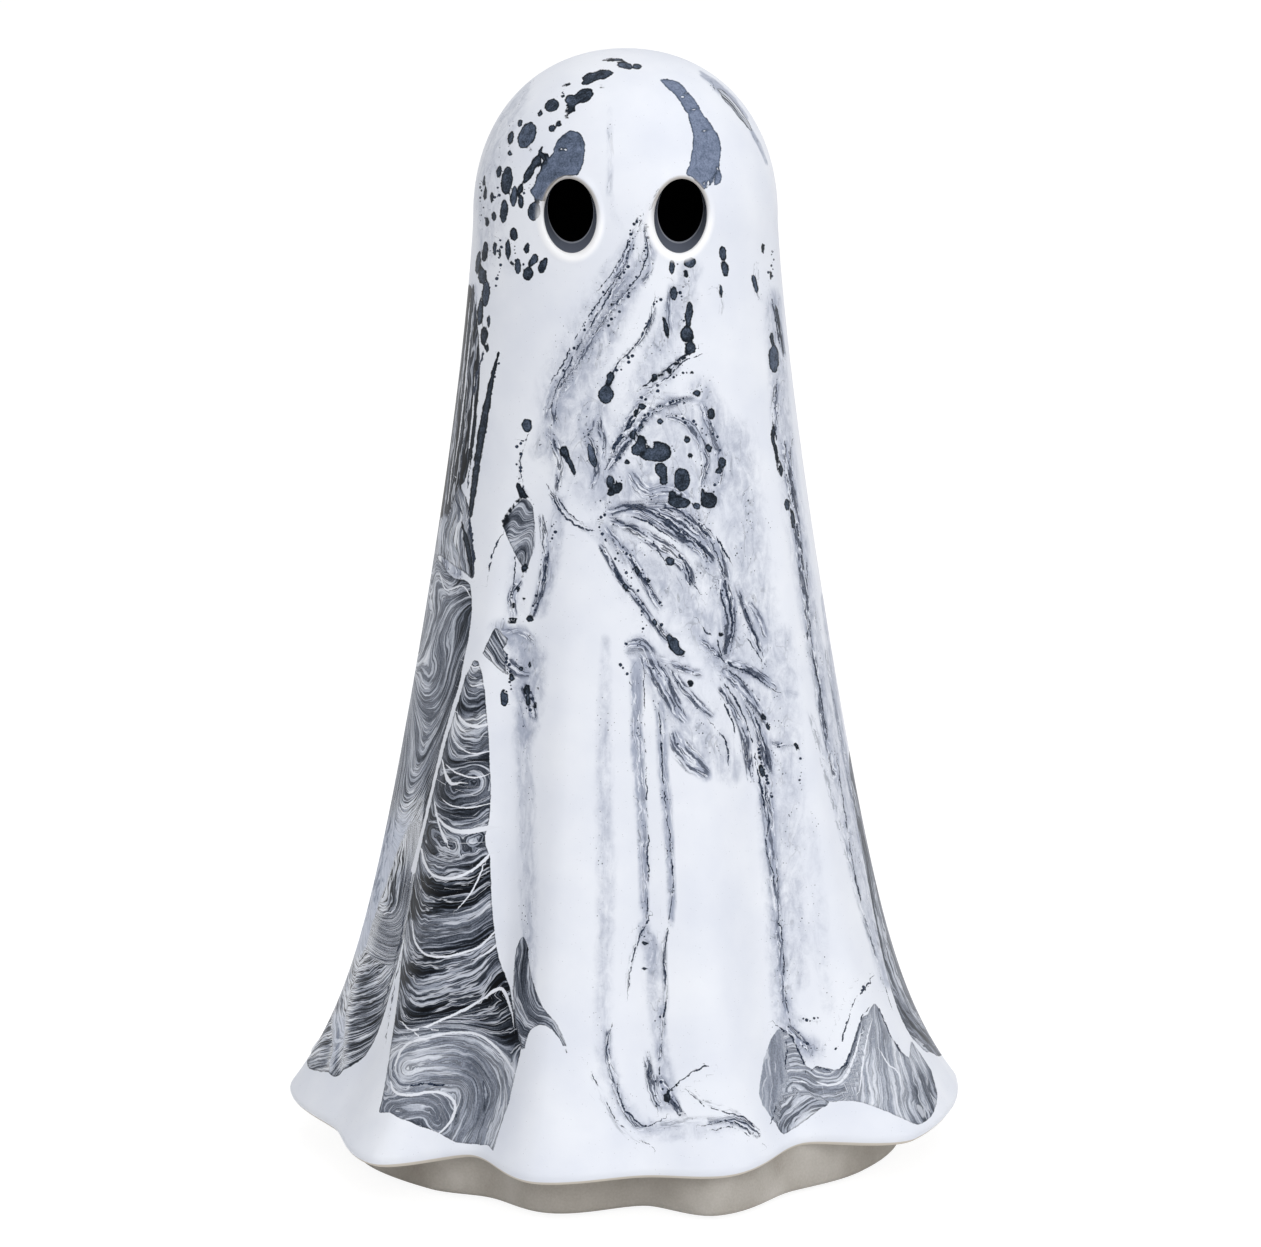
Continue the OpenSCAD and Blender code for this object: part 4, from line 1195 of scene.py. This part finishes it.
def marks_from(x, y, panels, spots, ribbons, threads, smoke_and_shade_rows, patches=(), cracks=(),
               strokes=(), chains=()):
    """All the marbling's fields at points of one view of the figure."""
    def flat(value):
        return np.full(len(x), float(value))

    ink, ink_tone = flat(NO_MARK), flat(0)
    luck = np.random.default_rng(7).uniform(0.16, 0.4, len(spots) + len(ribbons))
    shapes = [(oval(x, y, *spot), tone) for spot, tone in zip(spots, luck)]
    for row, tone in zip(ribbons, luck[len(spots):]):
        distance, _, _, width, _ = measured(x, y, row)
        shapes.append((distance - width / 2, tone * 0.6))
    shapes += [(inside_outline(x, y, smooth_path(outline, closed=True, steps=3)), tone)
               for tone, *outline in patches]
    for distance, tone in shapes:
        ink_tone = np.where(distance < ink, tone, ink_tone)
        ink = np.minimum(ink, distance)
    for width, *places in cracks:
        distance, _, _ = along(x, y, smooth_path(places), MARK_REACH)
        ink = np.maximum(ink, width / 2 - distance)

    thread, across, length, rival = (flat(0) for _ in range(4))
    for number, (strength, *row) in enumerate(threads):
        # A bundle narrower than the net can carry is widened and weakened.
        _, side, share, width, whole = measured(x, y, row, least=BUNDLE_LEAST)
        ends = ease(np.minimum(share, 1 - share) / 0.08)
        mask = (strength * min(max(row[2::3]) / 10, 1) * ends
                * np.clip(1.25 - 1.25 * (2 * side / width) ** 2, 0, 1))
        stronger = mask > thread
        rival = np.where(stronger, thread, np.maximum(rival, mask))
        thread = np.where(stronger, mask, thread)
        across = np.where(stronger, side + NEXT_BUNDLE * number, across)
        length = np.where(stronger, share * whole, length)

    thread = np.maximum(thread - CROSSED_SHARE * rival, 0) * 0.82

    # Smoke bands, partly painted shade down the fold grooves and the left of the head.
    smoke = flat(0)
    for strength, *row in smoke_and_shade_rows:
        distance, _, _, width, _ = measured(x, y, row, SMOKE_AND_SHADE_REACH)
        smoke = np.maximum(smoke, strength * ease(1.15 - distance / (width / 2)))

    found = {"ink": ink, "ink_tone": ink_tone, "thread": thread, "thread_across": across,
             "thread_along": length, "smoke": smoke}
    for layer_name, rows in (("stroke0", strokes[::2]), ("stroke1", strokes[1::2])):
        # Lines that run close to each other lie on different layers, and a line fades where
        # another of its layer is as near, so that no false line shows between them.
        across, half, nearest, second = flat(NO_MARK), flat(0), flat(NO_MARK), flat(NO_MARK)
        for row in rows:
            sign = np.sign(np.ravel(row)[2])
            distance, side, _, width, _ = measured(x, y, row)
            own_half = width / 2 * (WHITE_SHARE if sign > 0 else 1)
            gap = distance - own_half
            nearer = gap < nearest
            second = np.where(nearer, nearest, np.minimum(second, gap))
            nearest = np.where(nearer, gap, nearest)
            across = np.where(nearer, side, across)
            half = np.where(nearer, sign * own_half, half)
        sure = np.clip((second - nearest - 3) / 4, 0, 1) * np.clip((12 - nearest) / 4, 0, 1)
        found[layer_name + "_across"] = np.clip(across, -NO_MARK, NO_MARK)
        found[layer_name + "_width"] = half * sure

    across, length, nearest = flat(NO_MARK), flat(0), flat(NO_MARK)
    for number, places in enumerate(chains):
        path = smooth_path(places)
        distance, side, share = along(x, y, path, BEAD_REACH)
        nearer = (distance < nearest) & (share > 0) & (share < 1)
        nearest = np.where(nearer, distance, nearest)
        across = np.where(nearer, side, across)
        length = np.where(nearer, share * lengths(path).sum() + NEXT_CHAIN * number, length)
    found.update(bead_across=np.clip(across, -NO_BEAD, NO_BEAD),
                 bead_far=np.minimum(nearest, NO_BEAD), bead_along=length)

    panel, flow, pale, mottle = flat(NO_MARK), flat(0), flat(0), flat(0)
    for distance, own_flow, own_pale, own_mottle in panels:
        nearer = distance < panel
        panel = np.where(nearer, distance, panel)
        flow = np.where(nearer, own_flow, flow)
        pale = np.where(nearer, own_pale, pale)
        mottle = np.where(nearer, own_mottle, mottle)
    found.update(panel=panel, flow=flow, pale=pale, mottle=mottle)
    return found


def front_marks(x, y):
    dark_lines = tuple(np.reshape(row, (-1, 3)) * (1, 1, -1) for row in FRONT_LINES)
    return marks_from(x, y, panel_fields(x, y), FRONT_SPOTS, FRONT_RIBBONS, FRONT_THREADS,
                      FRONT_SMOKE_AND_SHADE, FRONT_PATCHES, FRONT_CRACKS, FRONT_STROKES + dark_lines,
                      FRONT_CHAINS)


# The back, which the photograph does not show, in the same kind of marks.
BACK_SPOTS = (
    (560, 90, 14, 10), (580, 76, 20, 8, -10), (548, 120, 8, 8), (600, 110, 16, 22, 20),
    (628, 96, 12, 8), (640, 122, 22, 30, -15), (660, 110, 10, 8), (570, 150, 10, 14),
    (520, 150, 12, 22, 20), (536, 176, 16, 24, 10), (556, 196, 9, 12), (512, 200, 8, 18),
    (690, 150, 26, 36, -20), (712, 176, 10, 16), (728, 150, 8, 14), (700, 200, 8, 12),
    (740, 200, 9, 24), (720, 226, 6, 12), (620, 300, 14, 18), (600, 330, 9, 9),
    (640, 340, 20, 14, -15), (580, 300, 7, 9), (660, 400, 10, 10), (560, 420, 12, 14),
    (700, 430, 16, 20), (716, 460, 9, 9), (690, 470, 8, 8), (610, 470, 24, 14, 10),
    (540, 520, 9, 9), (660, 520, 14, 10),
)
BACK_RIBBONS = (
    (560, 240, 4, 552, 270, 12, 566, 300, 14, 560, 340, 4),
    (780, 300, 2, 776, 360, 10, 770, 420, 2),
)
BACK_THREADS = (
    (0.8, 600, 200, 8, 585, 260, 22, 600, 330, 20, 580, 400, 24, 560, 470, 12),
    (0.9, 640, 350, 10, 660, 400, 26, 650, 460, 30, 670, 530, 26, 700, 600, 10),
    (0.9, 560, 480, 8, 600, 520, 26, 640, 560, 30, 700, 640, 24, 740, 720, 10),
    (0.8, 620, 560, 8, 600, 620, 20, 560, 680, 18, 530, 740, 8),
    (0.7, 700, 600, 12, 710, 700, 16, 716, 800, 14, 720, 900, 12, 716, 1000, 8),
    (0.6, 560, 700, 14, 566, 800, 18, 570, 900, 14, 560, 1000, 8),
    (0.7, 500, 400, 8, 490, 500, 14, 480, 600, 8),
    (0.7, 640, 1000, 8, 660, 1060, 14, 700, 1090, 12, 760, 1080, 6),
    (0.5, 440, 700, 8, 430, 800, 12, 410, 900, 6),
)
BACK_SMOKE = (
    (0.5, 600, 220, 50, 600, 340, 70, 620, 460, 90, 660, 580, 60),
    (0.4, 560, 640, 40, 570, 800, 50, 570, 980, 40),
    (0.4, 700, 600, 50, 716, 780, 44, 716, 1000, 40),
    (0.4, 480, 360, 30, 470, 520, 40, 450, 700, 40),
)
COMB_BACK = (
    760, 620, 772, 680, 776, 760, 790, 850, 806, 930, 822, 1000, 842, 1060, 870, 1100, 900, 1112,
    930, 1090, 965, 1060, 990, 1040, 990, 980, 960, 900, 930, 800, 900, 700, 870, 600, 840, 560,
    800, 560, 775, 580)
COMB_BACK_LOW = (
    430, 1010, 446, 980, 470, 1010, 500, 1050, 540, 1040, 580, 1070, 640, 1120, 620, 1150, 560,
    1150, 500, 1130, 450, 1120, 400, 1100, 380, 1080, 400, 1050)


def back_panels(x, y):
    middle = np.interp(y, (560, 760, 940, 1110), (830, 860, 900, 930))
    flow = y + 0.03 * (x - middle) ** 2 + 8 * np.sin(x / 19 + y / 31)
    distance, _, _ = along(x, y, smooth_path((850, 780, 880, 800, 900, 860)), 90)
    weight = ease((70 - distance) / 40)
    flow = flow * (1 - weight) + (distance + 60) * weight
    pale = 0.5 + 0.16 * np.sin(y / 23) + 0.1 * np.sin(y / 9)
    spine = smooth_path((380, 1040, 450, 1060, 520, 1100, 600, 1090, 680, 1160))
    _, across, _ = along(x, y, spine)
    high, low = (inside_outline(x, y, smooth_path(outline, closed=True))
                 for outline in (COMB_BACK, COMB_BACK_LOW))
    return [(high, flow, pale, 0), (low, across + 150, 0.55, 0)]


def back_marks(x, y):
    return marks_from(x, y, back_panels(x, y), BACK_SPOTS, BACK_RIBBONS, BACK_THREADS,
                      BACK_SMOKE)


def lay_marbling(shell):
    """Lays the fields of the marbled glaze on the shell's mesh, in millimetres as seen."""
    mesh = shell.data
    count = len(mesh.vertices)
    points = np.zeros(count * 3)
    mesh.vertices.foreach_get("co", points)
    points = points.reshape(-1, 3) / MM
    inside, under, depth, lip = (get_field(mesh, name)
                                 for name in ("inside", "under", "depth", "lip"))
    skin = np.flatnonzero((inside < 0.5) & (under < 0.5))
    fields = {name: np.zeros(count) for name in ZERO_FIELDS}
    fields.update((name, np.full(count, NO_MARK_MM)) for name in FAR_FIELDS)

    for turn, marks in ((0, front_marks), (180, back_marks)):
        x, y, b = seen(points[skin], turn)
        facing = np.abs(b) < VIEW_REACH
        here = skin[facing]
        found = {name: values / (1 if name in SHARE_FIELDS else PX_PER_MM)
                 for name, values in marks(x[facing], y[facing]).items()}

        def keep(better, *names):
            for name in names:
                fields[name][here] = np.where(better, found[name], fields[name][here])

        keep(found["ink"] < fields["ink"][here], "ink", "ink_tone")
        # Where a panel of the front meets one of the back, a pale line parts them.
        apart = found["panel"] - fields["panel"][here]
        meeting = np.exp(-(apart / 0.9) ** 2) * (found["panel"] < 0)
        keep(apart < 0, "panel", "flow", "pale", "mottle")
        fields["pale"][here] += 0.9 * meeting
        keep(found["thread"] > fields["thread"][here], "thread", "thread_across", "thread_along")
        keep(found["smoke"] > fields["smoke"][here], "smoke")
        for name in ("stroke0", "stroke1"):
            keep(found[name + "_width"] != 0, name + "_across", name + "_width")
        keep(np.abs(found["bead_across"]) < np.abs(fields["bead_across"][here]),
             "bead_across", "bead_far", "bead_along")

    # The eye holes' cut walls and the hollow, whose near black is painted shade; painted shade on
    # the eyes' upper rims and a painted highlight round their lower rims; and the bare seat.
    # Inside the hollow the field stands at 2, where the glaze is coloured near black as painted
    # shade.
    fields["hole"] = np.clip(depth / EYE_RIM, 0, 1) * (1 - inside) + 2 * inside
    x, y, z = points.T
    rim = np.minimum(*(oval(x, z, side * EYE_GAP / 2, EYE_Z, EYE_W, EYE_H) for side in (-1, 1)))
    near = (inside < 0.5) & (y < 0)
    # Painted shade: the upper rim of each eye, where the glaze roll turns down into the hole, is
    # coloured a darker grey-beige.
    fields["rim_shade"] = (near * ease((1.15 - rim) / 0.7)
                           * (0.15 + 0.85 * ease((z - EYE_Z + 2) / 8)))
    # Painted highlight: a near-white halo round the lower rim of each eye.
    fields["rim_light"] = near * ease((2.3 - rim) / 1.2) * ease((EYE_Z + 5 - z) / 9)
    fields["bare"] = np.where(inside > 0.5, 0, np.clip((-18 - lip) / 30, 0, 1) + under)
    for name in RULE_FIELDS:
        mesh.attributes.remove(mesh.attributes[name])
    for name, values in fields.items():
        set_field(mesh, name, values)


# Materials.

def new_material(name):
    material = bpy.data.materials.new(name)
    material.use_nodes = True
    tree = material.node_tree
    tree.nodes.clear()
    return material, tree


def end_material(tree, height, strength, depth, look):
    """Ends a tree in its shader, with a bump of some depth in millimetres."""
    bump = add_node(tree, "ShaderNodeBump",
                    {"Height": height, "Strength": strength, "Distance": depth * MM})
    shader = add_node(tree, "ShaderNodeBsdfPrincipled", {"IOR": 1.5, "Normal": bump, **look})
    add_node(tree, "ShaderNodeOutputMaterial", {"Surface": shader})


def marbled_glaze():
    """Satin tin glaze over slip-cast clay, marbled with slate slip.

    The eye gets a cool white that is never quite even, ink-dark spots with darker rims,
    combed panels with hair-fine light and dark bands, and thin grey veils in the folds that are
    partly smoke and partly painted shade. Painted shade and a painted highlight ring the eyes,
    a painted highlight runs along the holes' inner edges, and the hollow is painted near black.
    """
    material, tree = new_material("marbled_satin_glaze")
    place = add_node(tree, "ShaderNodeTexCoord").outputs["Object"]
    tall = add_node(tree, "ShaderNodeMapping", {"Vector": place, "Scale": (1, 1, 0.5)})
    field = {}
    for name in ZERO_FIELDS + FAR_FIELDS + FORM_FIELDS:
        node = add_node(tree, "ShaderNodeAttribute", attribute_name=name)
        field[name] = Term(tree, node.outputs["Fac"])

    # Noise on the glaze: its space, the size of its features in millimetres, its detail,
    # roughness and swirl.
    grain, lumps, swell, drift, mist, vein, peel = (
        Term(tree, add_node(tree, "ShaderNodeTexNoise", {
            "Vector": space, "Scale": 1 / (size * MM), "Detail": detail, "Roughness": rough,
            "Distortion": swirl}))
        for space, size, detail, rough, swirl in (
            (place, 0.4, 2, 0.6, 0), (place, 1.7, 3, 0.55, 0), (place, 5, 2, 0.5, 0),
            (place, 16, 3, 0.5, 0), (tall, 3.2, 5, 0.66, 1), (tall, 4.4, 3, 0.5, 0.8),
            (place, 1.1, 2, 0.5, 0)))
    grainy, lumpy, swelling = grain - 0.5, lumps - 0.5, swell - 0.5
    misty = mist + lumpy * 0.35 + grainy * 0.2

    # Spots and panels: their edges wander by a few tenths of a millimetre.
    ink_edge = field["ink"] + lumpy * 0.9 + grainy * 0.25
    panel_edge = field["panel"] + lumpy * 0.45 + grainy * 0.25

    # Bands of the combed panels: noise that changes fast across the flow, which wavers on
    # its way, and slowly along it.
    flow = field["flow"] + lumpy * 0.3 + swelling * 1.8 + (drift - 0.5) * 4
    bands = []
    for length, width, detail, rough in ((24, 2.3, 3, 0.6), (14, 0.62, 2, 0.55)):
        drawn = add_node(tree, "ShaderNodeVectorMath", {0: place, "Scale": 1 / (length * MM)},
                         operation="SCALE")
        bands.append(Term(tree, add_node(tree, "ShaderNodeTexNoise", {
            "Vector": drawn.outputs["Vector"], "W": flow / width, "Scale": 1, "Detail": detail,
            "Roughness": rough}, noise_dimensions="4D")))
    broad, hairs = bands[0], bands[1] - 0.5
    set_back, blotchy = abs(field["mottle"]), field["mottle"].math("MAXIMUM", 0)
    tone = (field["pale"] + (broad - 0.5) * (1.8 - set_back) + hairs * (2 - set_back)
            + (misty - 0.5) * blotchy * 4.2 + grainy * 0.3)

    # Threads: noise drawn out along each bundle, with fine contour lines in it.
    thread, smoke = field["thread"], field["smoke"]
    drawn = add_node(tree, "ShaderNodeCombineXYZ", {
        0: field["thread_across"] + lumpy * 1.1 + swelling * 1.2,
        1: field["thread_along"] * 0.09})
    threads = Term(tree, add_node(tree, "ShaderNodeTexNoise", {
        "Vector": drawn, "Scale": 1, "Detail": 2.5, "Roughness": 0.55}))
    contours = threads * 4.4
    # The veil is the threads' grey haze and the smoke, which is partly painted shade.
    veil = (threads - 0.3) * thread * 1.5 + misty * smoke
    cells = Term(tree, add_node(tree, "ShaderNodeTexVoronoi",
                                {"Vector": place, "Scale": 1 / (0.95 * MM)}))
    specks = cells - (swelling * 2.4).math("MAXIMUM", 0) * smoke * 0.7 - thread * 0.2

    # Beads: one to each short length of a chain, each with its own size and offset.
    bead_length = 0.8
    beads = field["bead_along"] / bead_length
    luck = Term(tree, add_node(tree, "ShaderNodeTexWhiteNoise", {"W": beads.math("FLOOR")},
                               noise_dimensions="1D"))
    u = (luck * 7.31).math("FRACT") * 1.3 + field["bead_across"] - 0.65
    v = (beads.math("FRACT") - 0.5) * bead_length
    bead_edge = (u * u + v * v).math("SQRT") - (luck * 0.5 - 0.06) + grainy * 0.3

    def ripple(value):
        """How far a value lies from the middle between two whole numbers."""
        return abs(value.math("FRACT") - 0.5)

    # Soft steps: a name, what is measured, where the step is 0 and where it is 1.
    hole = field["hole"]
    steps = [
        ("ink", ink_edge, 0.09, -0.09), ("ink rim", ink_edge, -0.42, -0.1),
        ("panel", panel_edge, 0.08, -0.08), ("panel rim", panel_edge, -0.42, -0.14),
        ("dark hair", abs(hairs), 0.055, 0.02), ("light hair", abs(broad - 0.57), 0.024, 0.01),
        ("veil", veil, 0.07, 0.42), ("speck", specks, 0.07, 0.02),
        ("vein", ripple(vein * 5), 0.1, 0.03), ("in smoke", smoke, 0.3, 0.6),
        ("in swell", swell, 0.44, 0.6), ("thread", thread * 0.32 + threads, 0.77, 0.84),
        ("contour", ripple(contours), 0.27, 0.13), ("in thread", thread, 0.18, 0.5),
        ("filament", ripple(contours - 0.35), 0.12, 0.05), ("by thread", thread, 0.08, 0.3),
        ("bead", bead_edge, 0.05, -0.07), ("on chain", field["bead_far"], 1.9, 1.3),
        # The inner edge's step marks a thin painted highlight along each hole's inner edge.
        ("cut wall", hole, 0.8, 1), ("inner edge", hole, 1.8, 1.86), ("hollow", hole, 1.93, 2),
        ("bare", field["bare"], 0.25, 0.6)]
    # Lines, each drawn from its own distances. Dark lines stray and break up; white ones hold.
    stray, thin_spot = swelling * 0.8 + lumpy, (0.5 - mist).math("MAXIMUM", 0)
    for name in ("stroke0", "stroke1"):
        across, width = field[name + "_across"], field[name + "_width"]
        dark, half = width.math("LESS_THAN", 0), abs(width)
        gap = abs((dark * 0.8 + 0.35) * stray + across) - half
        steps += [(name, gap + grainy * 0.3 + thin_spot * dark * 3.2, 0.05, -0.07),
                  (name + " wide", half, 0.03, 0.12)]
    mask = {}
    for name, value, at_zero, at_one in steps:
        mask[name] = Term(tree, add_node(
            tree, "ShaderNodeMapRange", {"Value": value, "From Min": at_zero, "From Max": at_one},
            interpolation_type="SMOOTHSTEP"))

    ink_tone = field["ink_tone"] - mask["ink rim"] * 0.35 + lumpy * 0.7 + grainy * 0.8
    white, thin, comb, slate = (
        add_node(tree, "ShaderNodeValToRGB", {"Fac": value}, stops) for value, stops in (
            (drift, ((0.3, "#DBDFE9"), (0.7, "#E6E9F0"))),
            (grain, ((0.35, "#131C2A"), (0.7, "#434C60"))),
            (tone, ((0, "#0A0C10"), (0.22, "#30363F"), (0.42, "#676D7A"), (0.6, "#969CA9"),
                    (0.8, "#BEC3CE"), (1, "#E0E3EA"))),
            (ink_tone, ((0, "#141A22"), (0.2, "#2B333E"), (0.4, "#475162"), (0.62, "#616C82"),
                        (0.95, "#808BA2")))))

    def laid(colour, *layers):
        """A colour with others laid over it, each as far as its own share."""
        for above, share in layers:
            colour = add_node(tree, "ShaderNodeMix", {0: share, 6: colour, 7: above},
                              data_type="RGBA").outputs[2]
        return colour

    hold = 0.95 - set_back * 0.62
    combed = laid(
        comb, ("#10151E", mask["dark hair"] * hold), ("#CDD1DB", mask["light hair"] * 0.7),
        ("#9DA9C4", blotchy * 0.42), ("#20262F", mask["panel rim"] * hold * 0.62))
    lines = [(laid(thin, ("#DFE2EA", field[name + "_width"].math("GREATER_THAN", 0))),
              mask[name] * mask[name + " wide"]) for name in ("stroke0", "stroke1")]
    colour = laid(
        # The grey veil over the white is partly smoke and threads and partly painted shade in the
        # folds.
        white, ("#8E96AB", mask["veil"] * 0.82),
        (thin, mask["vein"] * mask["in smoke"] * mask["in swell"] * 0.5),
        (white, mask["filament"] * mask["by thread"] * 0.8),
        (thin, mask["contour"] * mask["in thread"] * 0.85), (thin, mask["thread"] * 0.9),
        (thin, mask["speck"]), (combed, mask["panel"]), *lines,
        (thin, mask["bead"] * mask["on chain"]), (slate, mask["ink"]),
        # A painted highlight round the eyes' lower rims, and painted shade on their upper rims.
        ("#F8F9FC", field["rim_light"]), ("#A39C92", field["rim_shade"] * 0.75),
        # The cut walls' dark slate, and a painted highlight along the holes' inner edges.
        ("#5C616D", mask["cut wall"]), ("#A9ADB6", mask["inner edge"] * 0.6),
        # The hollow's near black is painted shade for its unlit inside; the seat is bare clay.
        ("#1A1C21", mask["hollow"]), ("#C9C2B8", mask["bare"]))
    end_material(tree, peel, 0.25, 0.06, {
        "Base Color": colour, "Specular IOR Level": 0.05,
        "Roughness": mask["bare"] * 0.49 + 0.36 - mask["cut wall"] * 0.2})
    return material


def bare_clay():
    """Unglazed fired stoneware, sponged smooth.

    The eye gets a dry warm grey with a fine sandy grain and faint rings from the sponge.
    """
    material, tree = new_material("bare_stoneware")
    place = add_node(tree, "ShaderNodeTexCoord").outputs["Object"]
    flat = add_node(tree, "ShaderNodeMapping", {"Vector": place, "Scale": (60, 60, 900)})
    sand, cloud, rings = (
        Term(tree, add_node(tree, "ShaderNodeTexNoise",
                            {"Vector": space, "Scale": scale, "Detail": detail}))
        for space, scale, detail in ((place, 1 / (0.5 * MM), 3), (place, 1 / (14 * MM), 2),
                                     (flat, 1, 2)))
    colour = add_node(tree, "ShaderNodeValToRGB", {"Fac": sand * 0.35 + cloud},
                      ((0.45, "#9C968E"), (0.9, "#BBB7B1")))
    end_material(tree, rings * 0.6 + sand, 0.4, 0.1, {"Base Color": colour, "Roughness": 0.88})
    return material


def pad_rubber():
    """Soft matt rubber of a stick-on pad: dark grey with a faint mottle and a dull sheen."""
    material, tree = new_material("pad_rubber")
    place = add_node(tree, "ShaderNodeTexCoord").outputs["Object"]
    mottle = add_node(tree, "ShaderNodeTexNoise",
                      {"Vector": place, "Scale": 1 / (0.6 * MM), "Detail": 3})
    colour = add_node(tree, "ShaderNodeValToRGB", {"Fac": mottle},
                      ((0, "#3A3B3E"), (1, "#58595C")))
    end_material(tree, mottle, 0.3, 0.05, {"Base Color": colour, "Roughness": 0.7})
    return material


# Stage, light and camera.

def shown_straight(tree):
    """1 for rays that show what stands behind the figure, 0 for rays that only light it."""
    rays = add_node(tree, "ShaderNodeLightPath")
    camera, glossy, through = (Term(tree, rays.outputs["Is %s Ray" % kind])
                               for kind in ("Camera", "Glossy", "Transmission"))
    return camera.math("MAXIMUM", glossy).math("MAXIMUM", through)


def make_stage():
    """A pale floor that shows nearly white and keeps a soft shadow, under a white sky."""
    half = 6
    floor = new_mesh("floor", [(-half, -half, 0), (half, -half, 0), (half, half, 0),
                               (-half, half, 0)], [(0, 1, 2, 3)])
    material, tree = new_material("pale_floor")
    matt = add_node(tree, "ShaderNodeBsdfDiffuse", {"Color": "#FFFFFF"})
    thin_matt = add_node(tree, "ShaderNodeBsdfDiffuse", {"Color": "#808080"})
    glow = add_node(tree, "ShaderNodeEmission", {"Color": "#F4F4F4", "Strength": 1})
    shown = add_node(tree, "ShaderNodeAddShader", {0: glow, 1: thin_matt})
    mixed = add_node(tree, "ShaderNodeMixShader", {0: shown_straight(tree), 1: matt, 2: shown})
    add_node(tree, "ShaderNodeOutputMaterial", {"Surface": mixed})
    floor.data.materials.append(material)

    world = bpy.data.worlds.new("studio")
    bpy.context.scene.world = world
    world.use_nodes = True
    tree = world.node_tree
    tree.nodes.clear()
    soft, white = (add_node(tree, "ShaderNodeBackground", {"Color": "#FFFFFF", "Strength": power})
                   for power in (0.5, 1))
    mixed = add_node(tree, "ShaderNodeMixShader", {0: shown_straight(tree), 1: soft, 2: white})
    add_node(tree, "ShaderNodeOutputWorld", {"Surface": mixed})


def aimed(place, target):
    """Rotation of a lamp or camera at a place that looks at a target."""
    way = Vector(np.array(target, float) - np.array(place, float))
    return way.to_track_quat("-Z", "Y").to_euler()


def make_lights():
    """Three large soft lamps: high in front, one on the right, and one overhead."""
    for name, place, size, watts in (
            ("front_softbox", (0.08, -1.8, 1.3), 1.1, 11.9),
            ("right_softbox", (1.7, -0.9, 0.5), 1.1, 5.4),
            ("top_softbox", (0.2, -0.3, 1.9), 1.2, 12)):
        lamp = bpy.data.lights.new(name, "AREA")
        lamp.size = size
        lamp.energy = watts
        lamp.color = linear("#FFFFFF")[:3]
        thing = bpy.data.objects.new(name, lamp)
        thing.location = place
        thing.rotation_euler = aimed(place, (0, 0, 0.12))
        bpy.context.scene.collection.objects.link(thing)


def make_camera():
    """The photograph's view: its frame is centred a little right of and below the aim."""
    side_mm = (FRAME_W / 2 - AIM_X_PX) / PX_PER_MM
    down_mm = (FRAME_H / 2 - AIM_Y_PX) / PX_PER_MM
    sine, cosine = math.sin(VIEW_TILT), math.cos(VIEW_TILT)
    centre = np.array([side_mm, -down_mm * sine, AIM_Z - down_mm * cosine])
    place = centre + VIEW_DISTANCE * np.array([0, -cosine, sine])
    data = bpy.data.cameras.new("camera")
    data.sensor_fit = "HORIZONTAL"
    data.sensor_width = 36
    data.lens = PX_PER_MM * VIEW_DISTANCE * data.sensor_width / FRAME_W
    data.clip_start, data.clip_end = 0.05, 60
    camera = bpy.data.objects.new("camera", data)
    camera.location = place * MM
    camera.rotation_euler = aimed(place, centre)
    bpy.context.scene.collection.objects.link(camera)
    bpy.context.scene.camera = camera


bpy.context.scene.view_settings.view_transform = "Standard"
make_camera()
make_stage()
make_lights()

glaze, clay, rubber = marbled_glaze(), bare_clay(), pad_rubber()
shell = make_shell(glaze)
lay_marbling(shell)
foot = make_foot(clay)
pads = make_pads(rubber)
for piece, nodes, slot in (
        (shell, ("ghost_shell",), "marbled_glaze"),
        (foot, ("foot_base",), "bare_clay"),
        (pads, ("pad_1", "pad_2", "pad_3", "pad_4"), "soft_pad")):
    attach(piece, "root")
    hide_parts(*nodes)
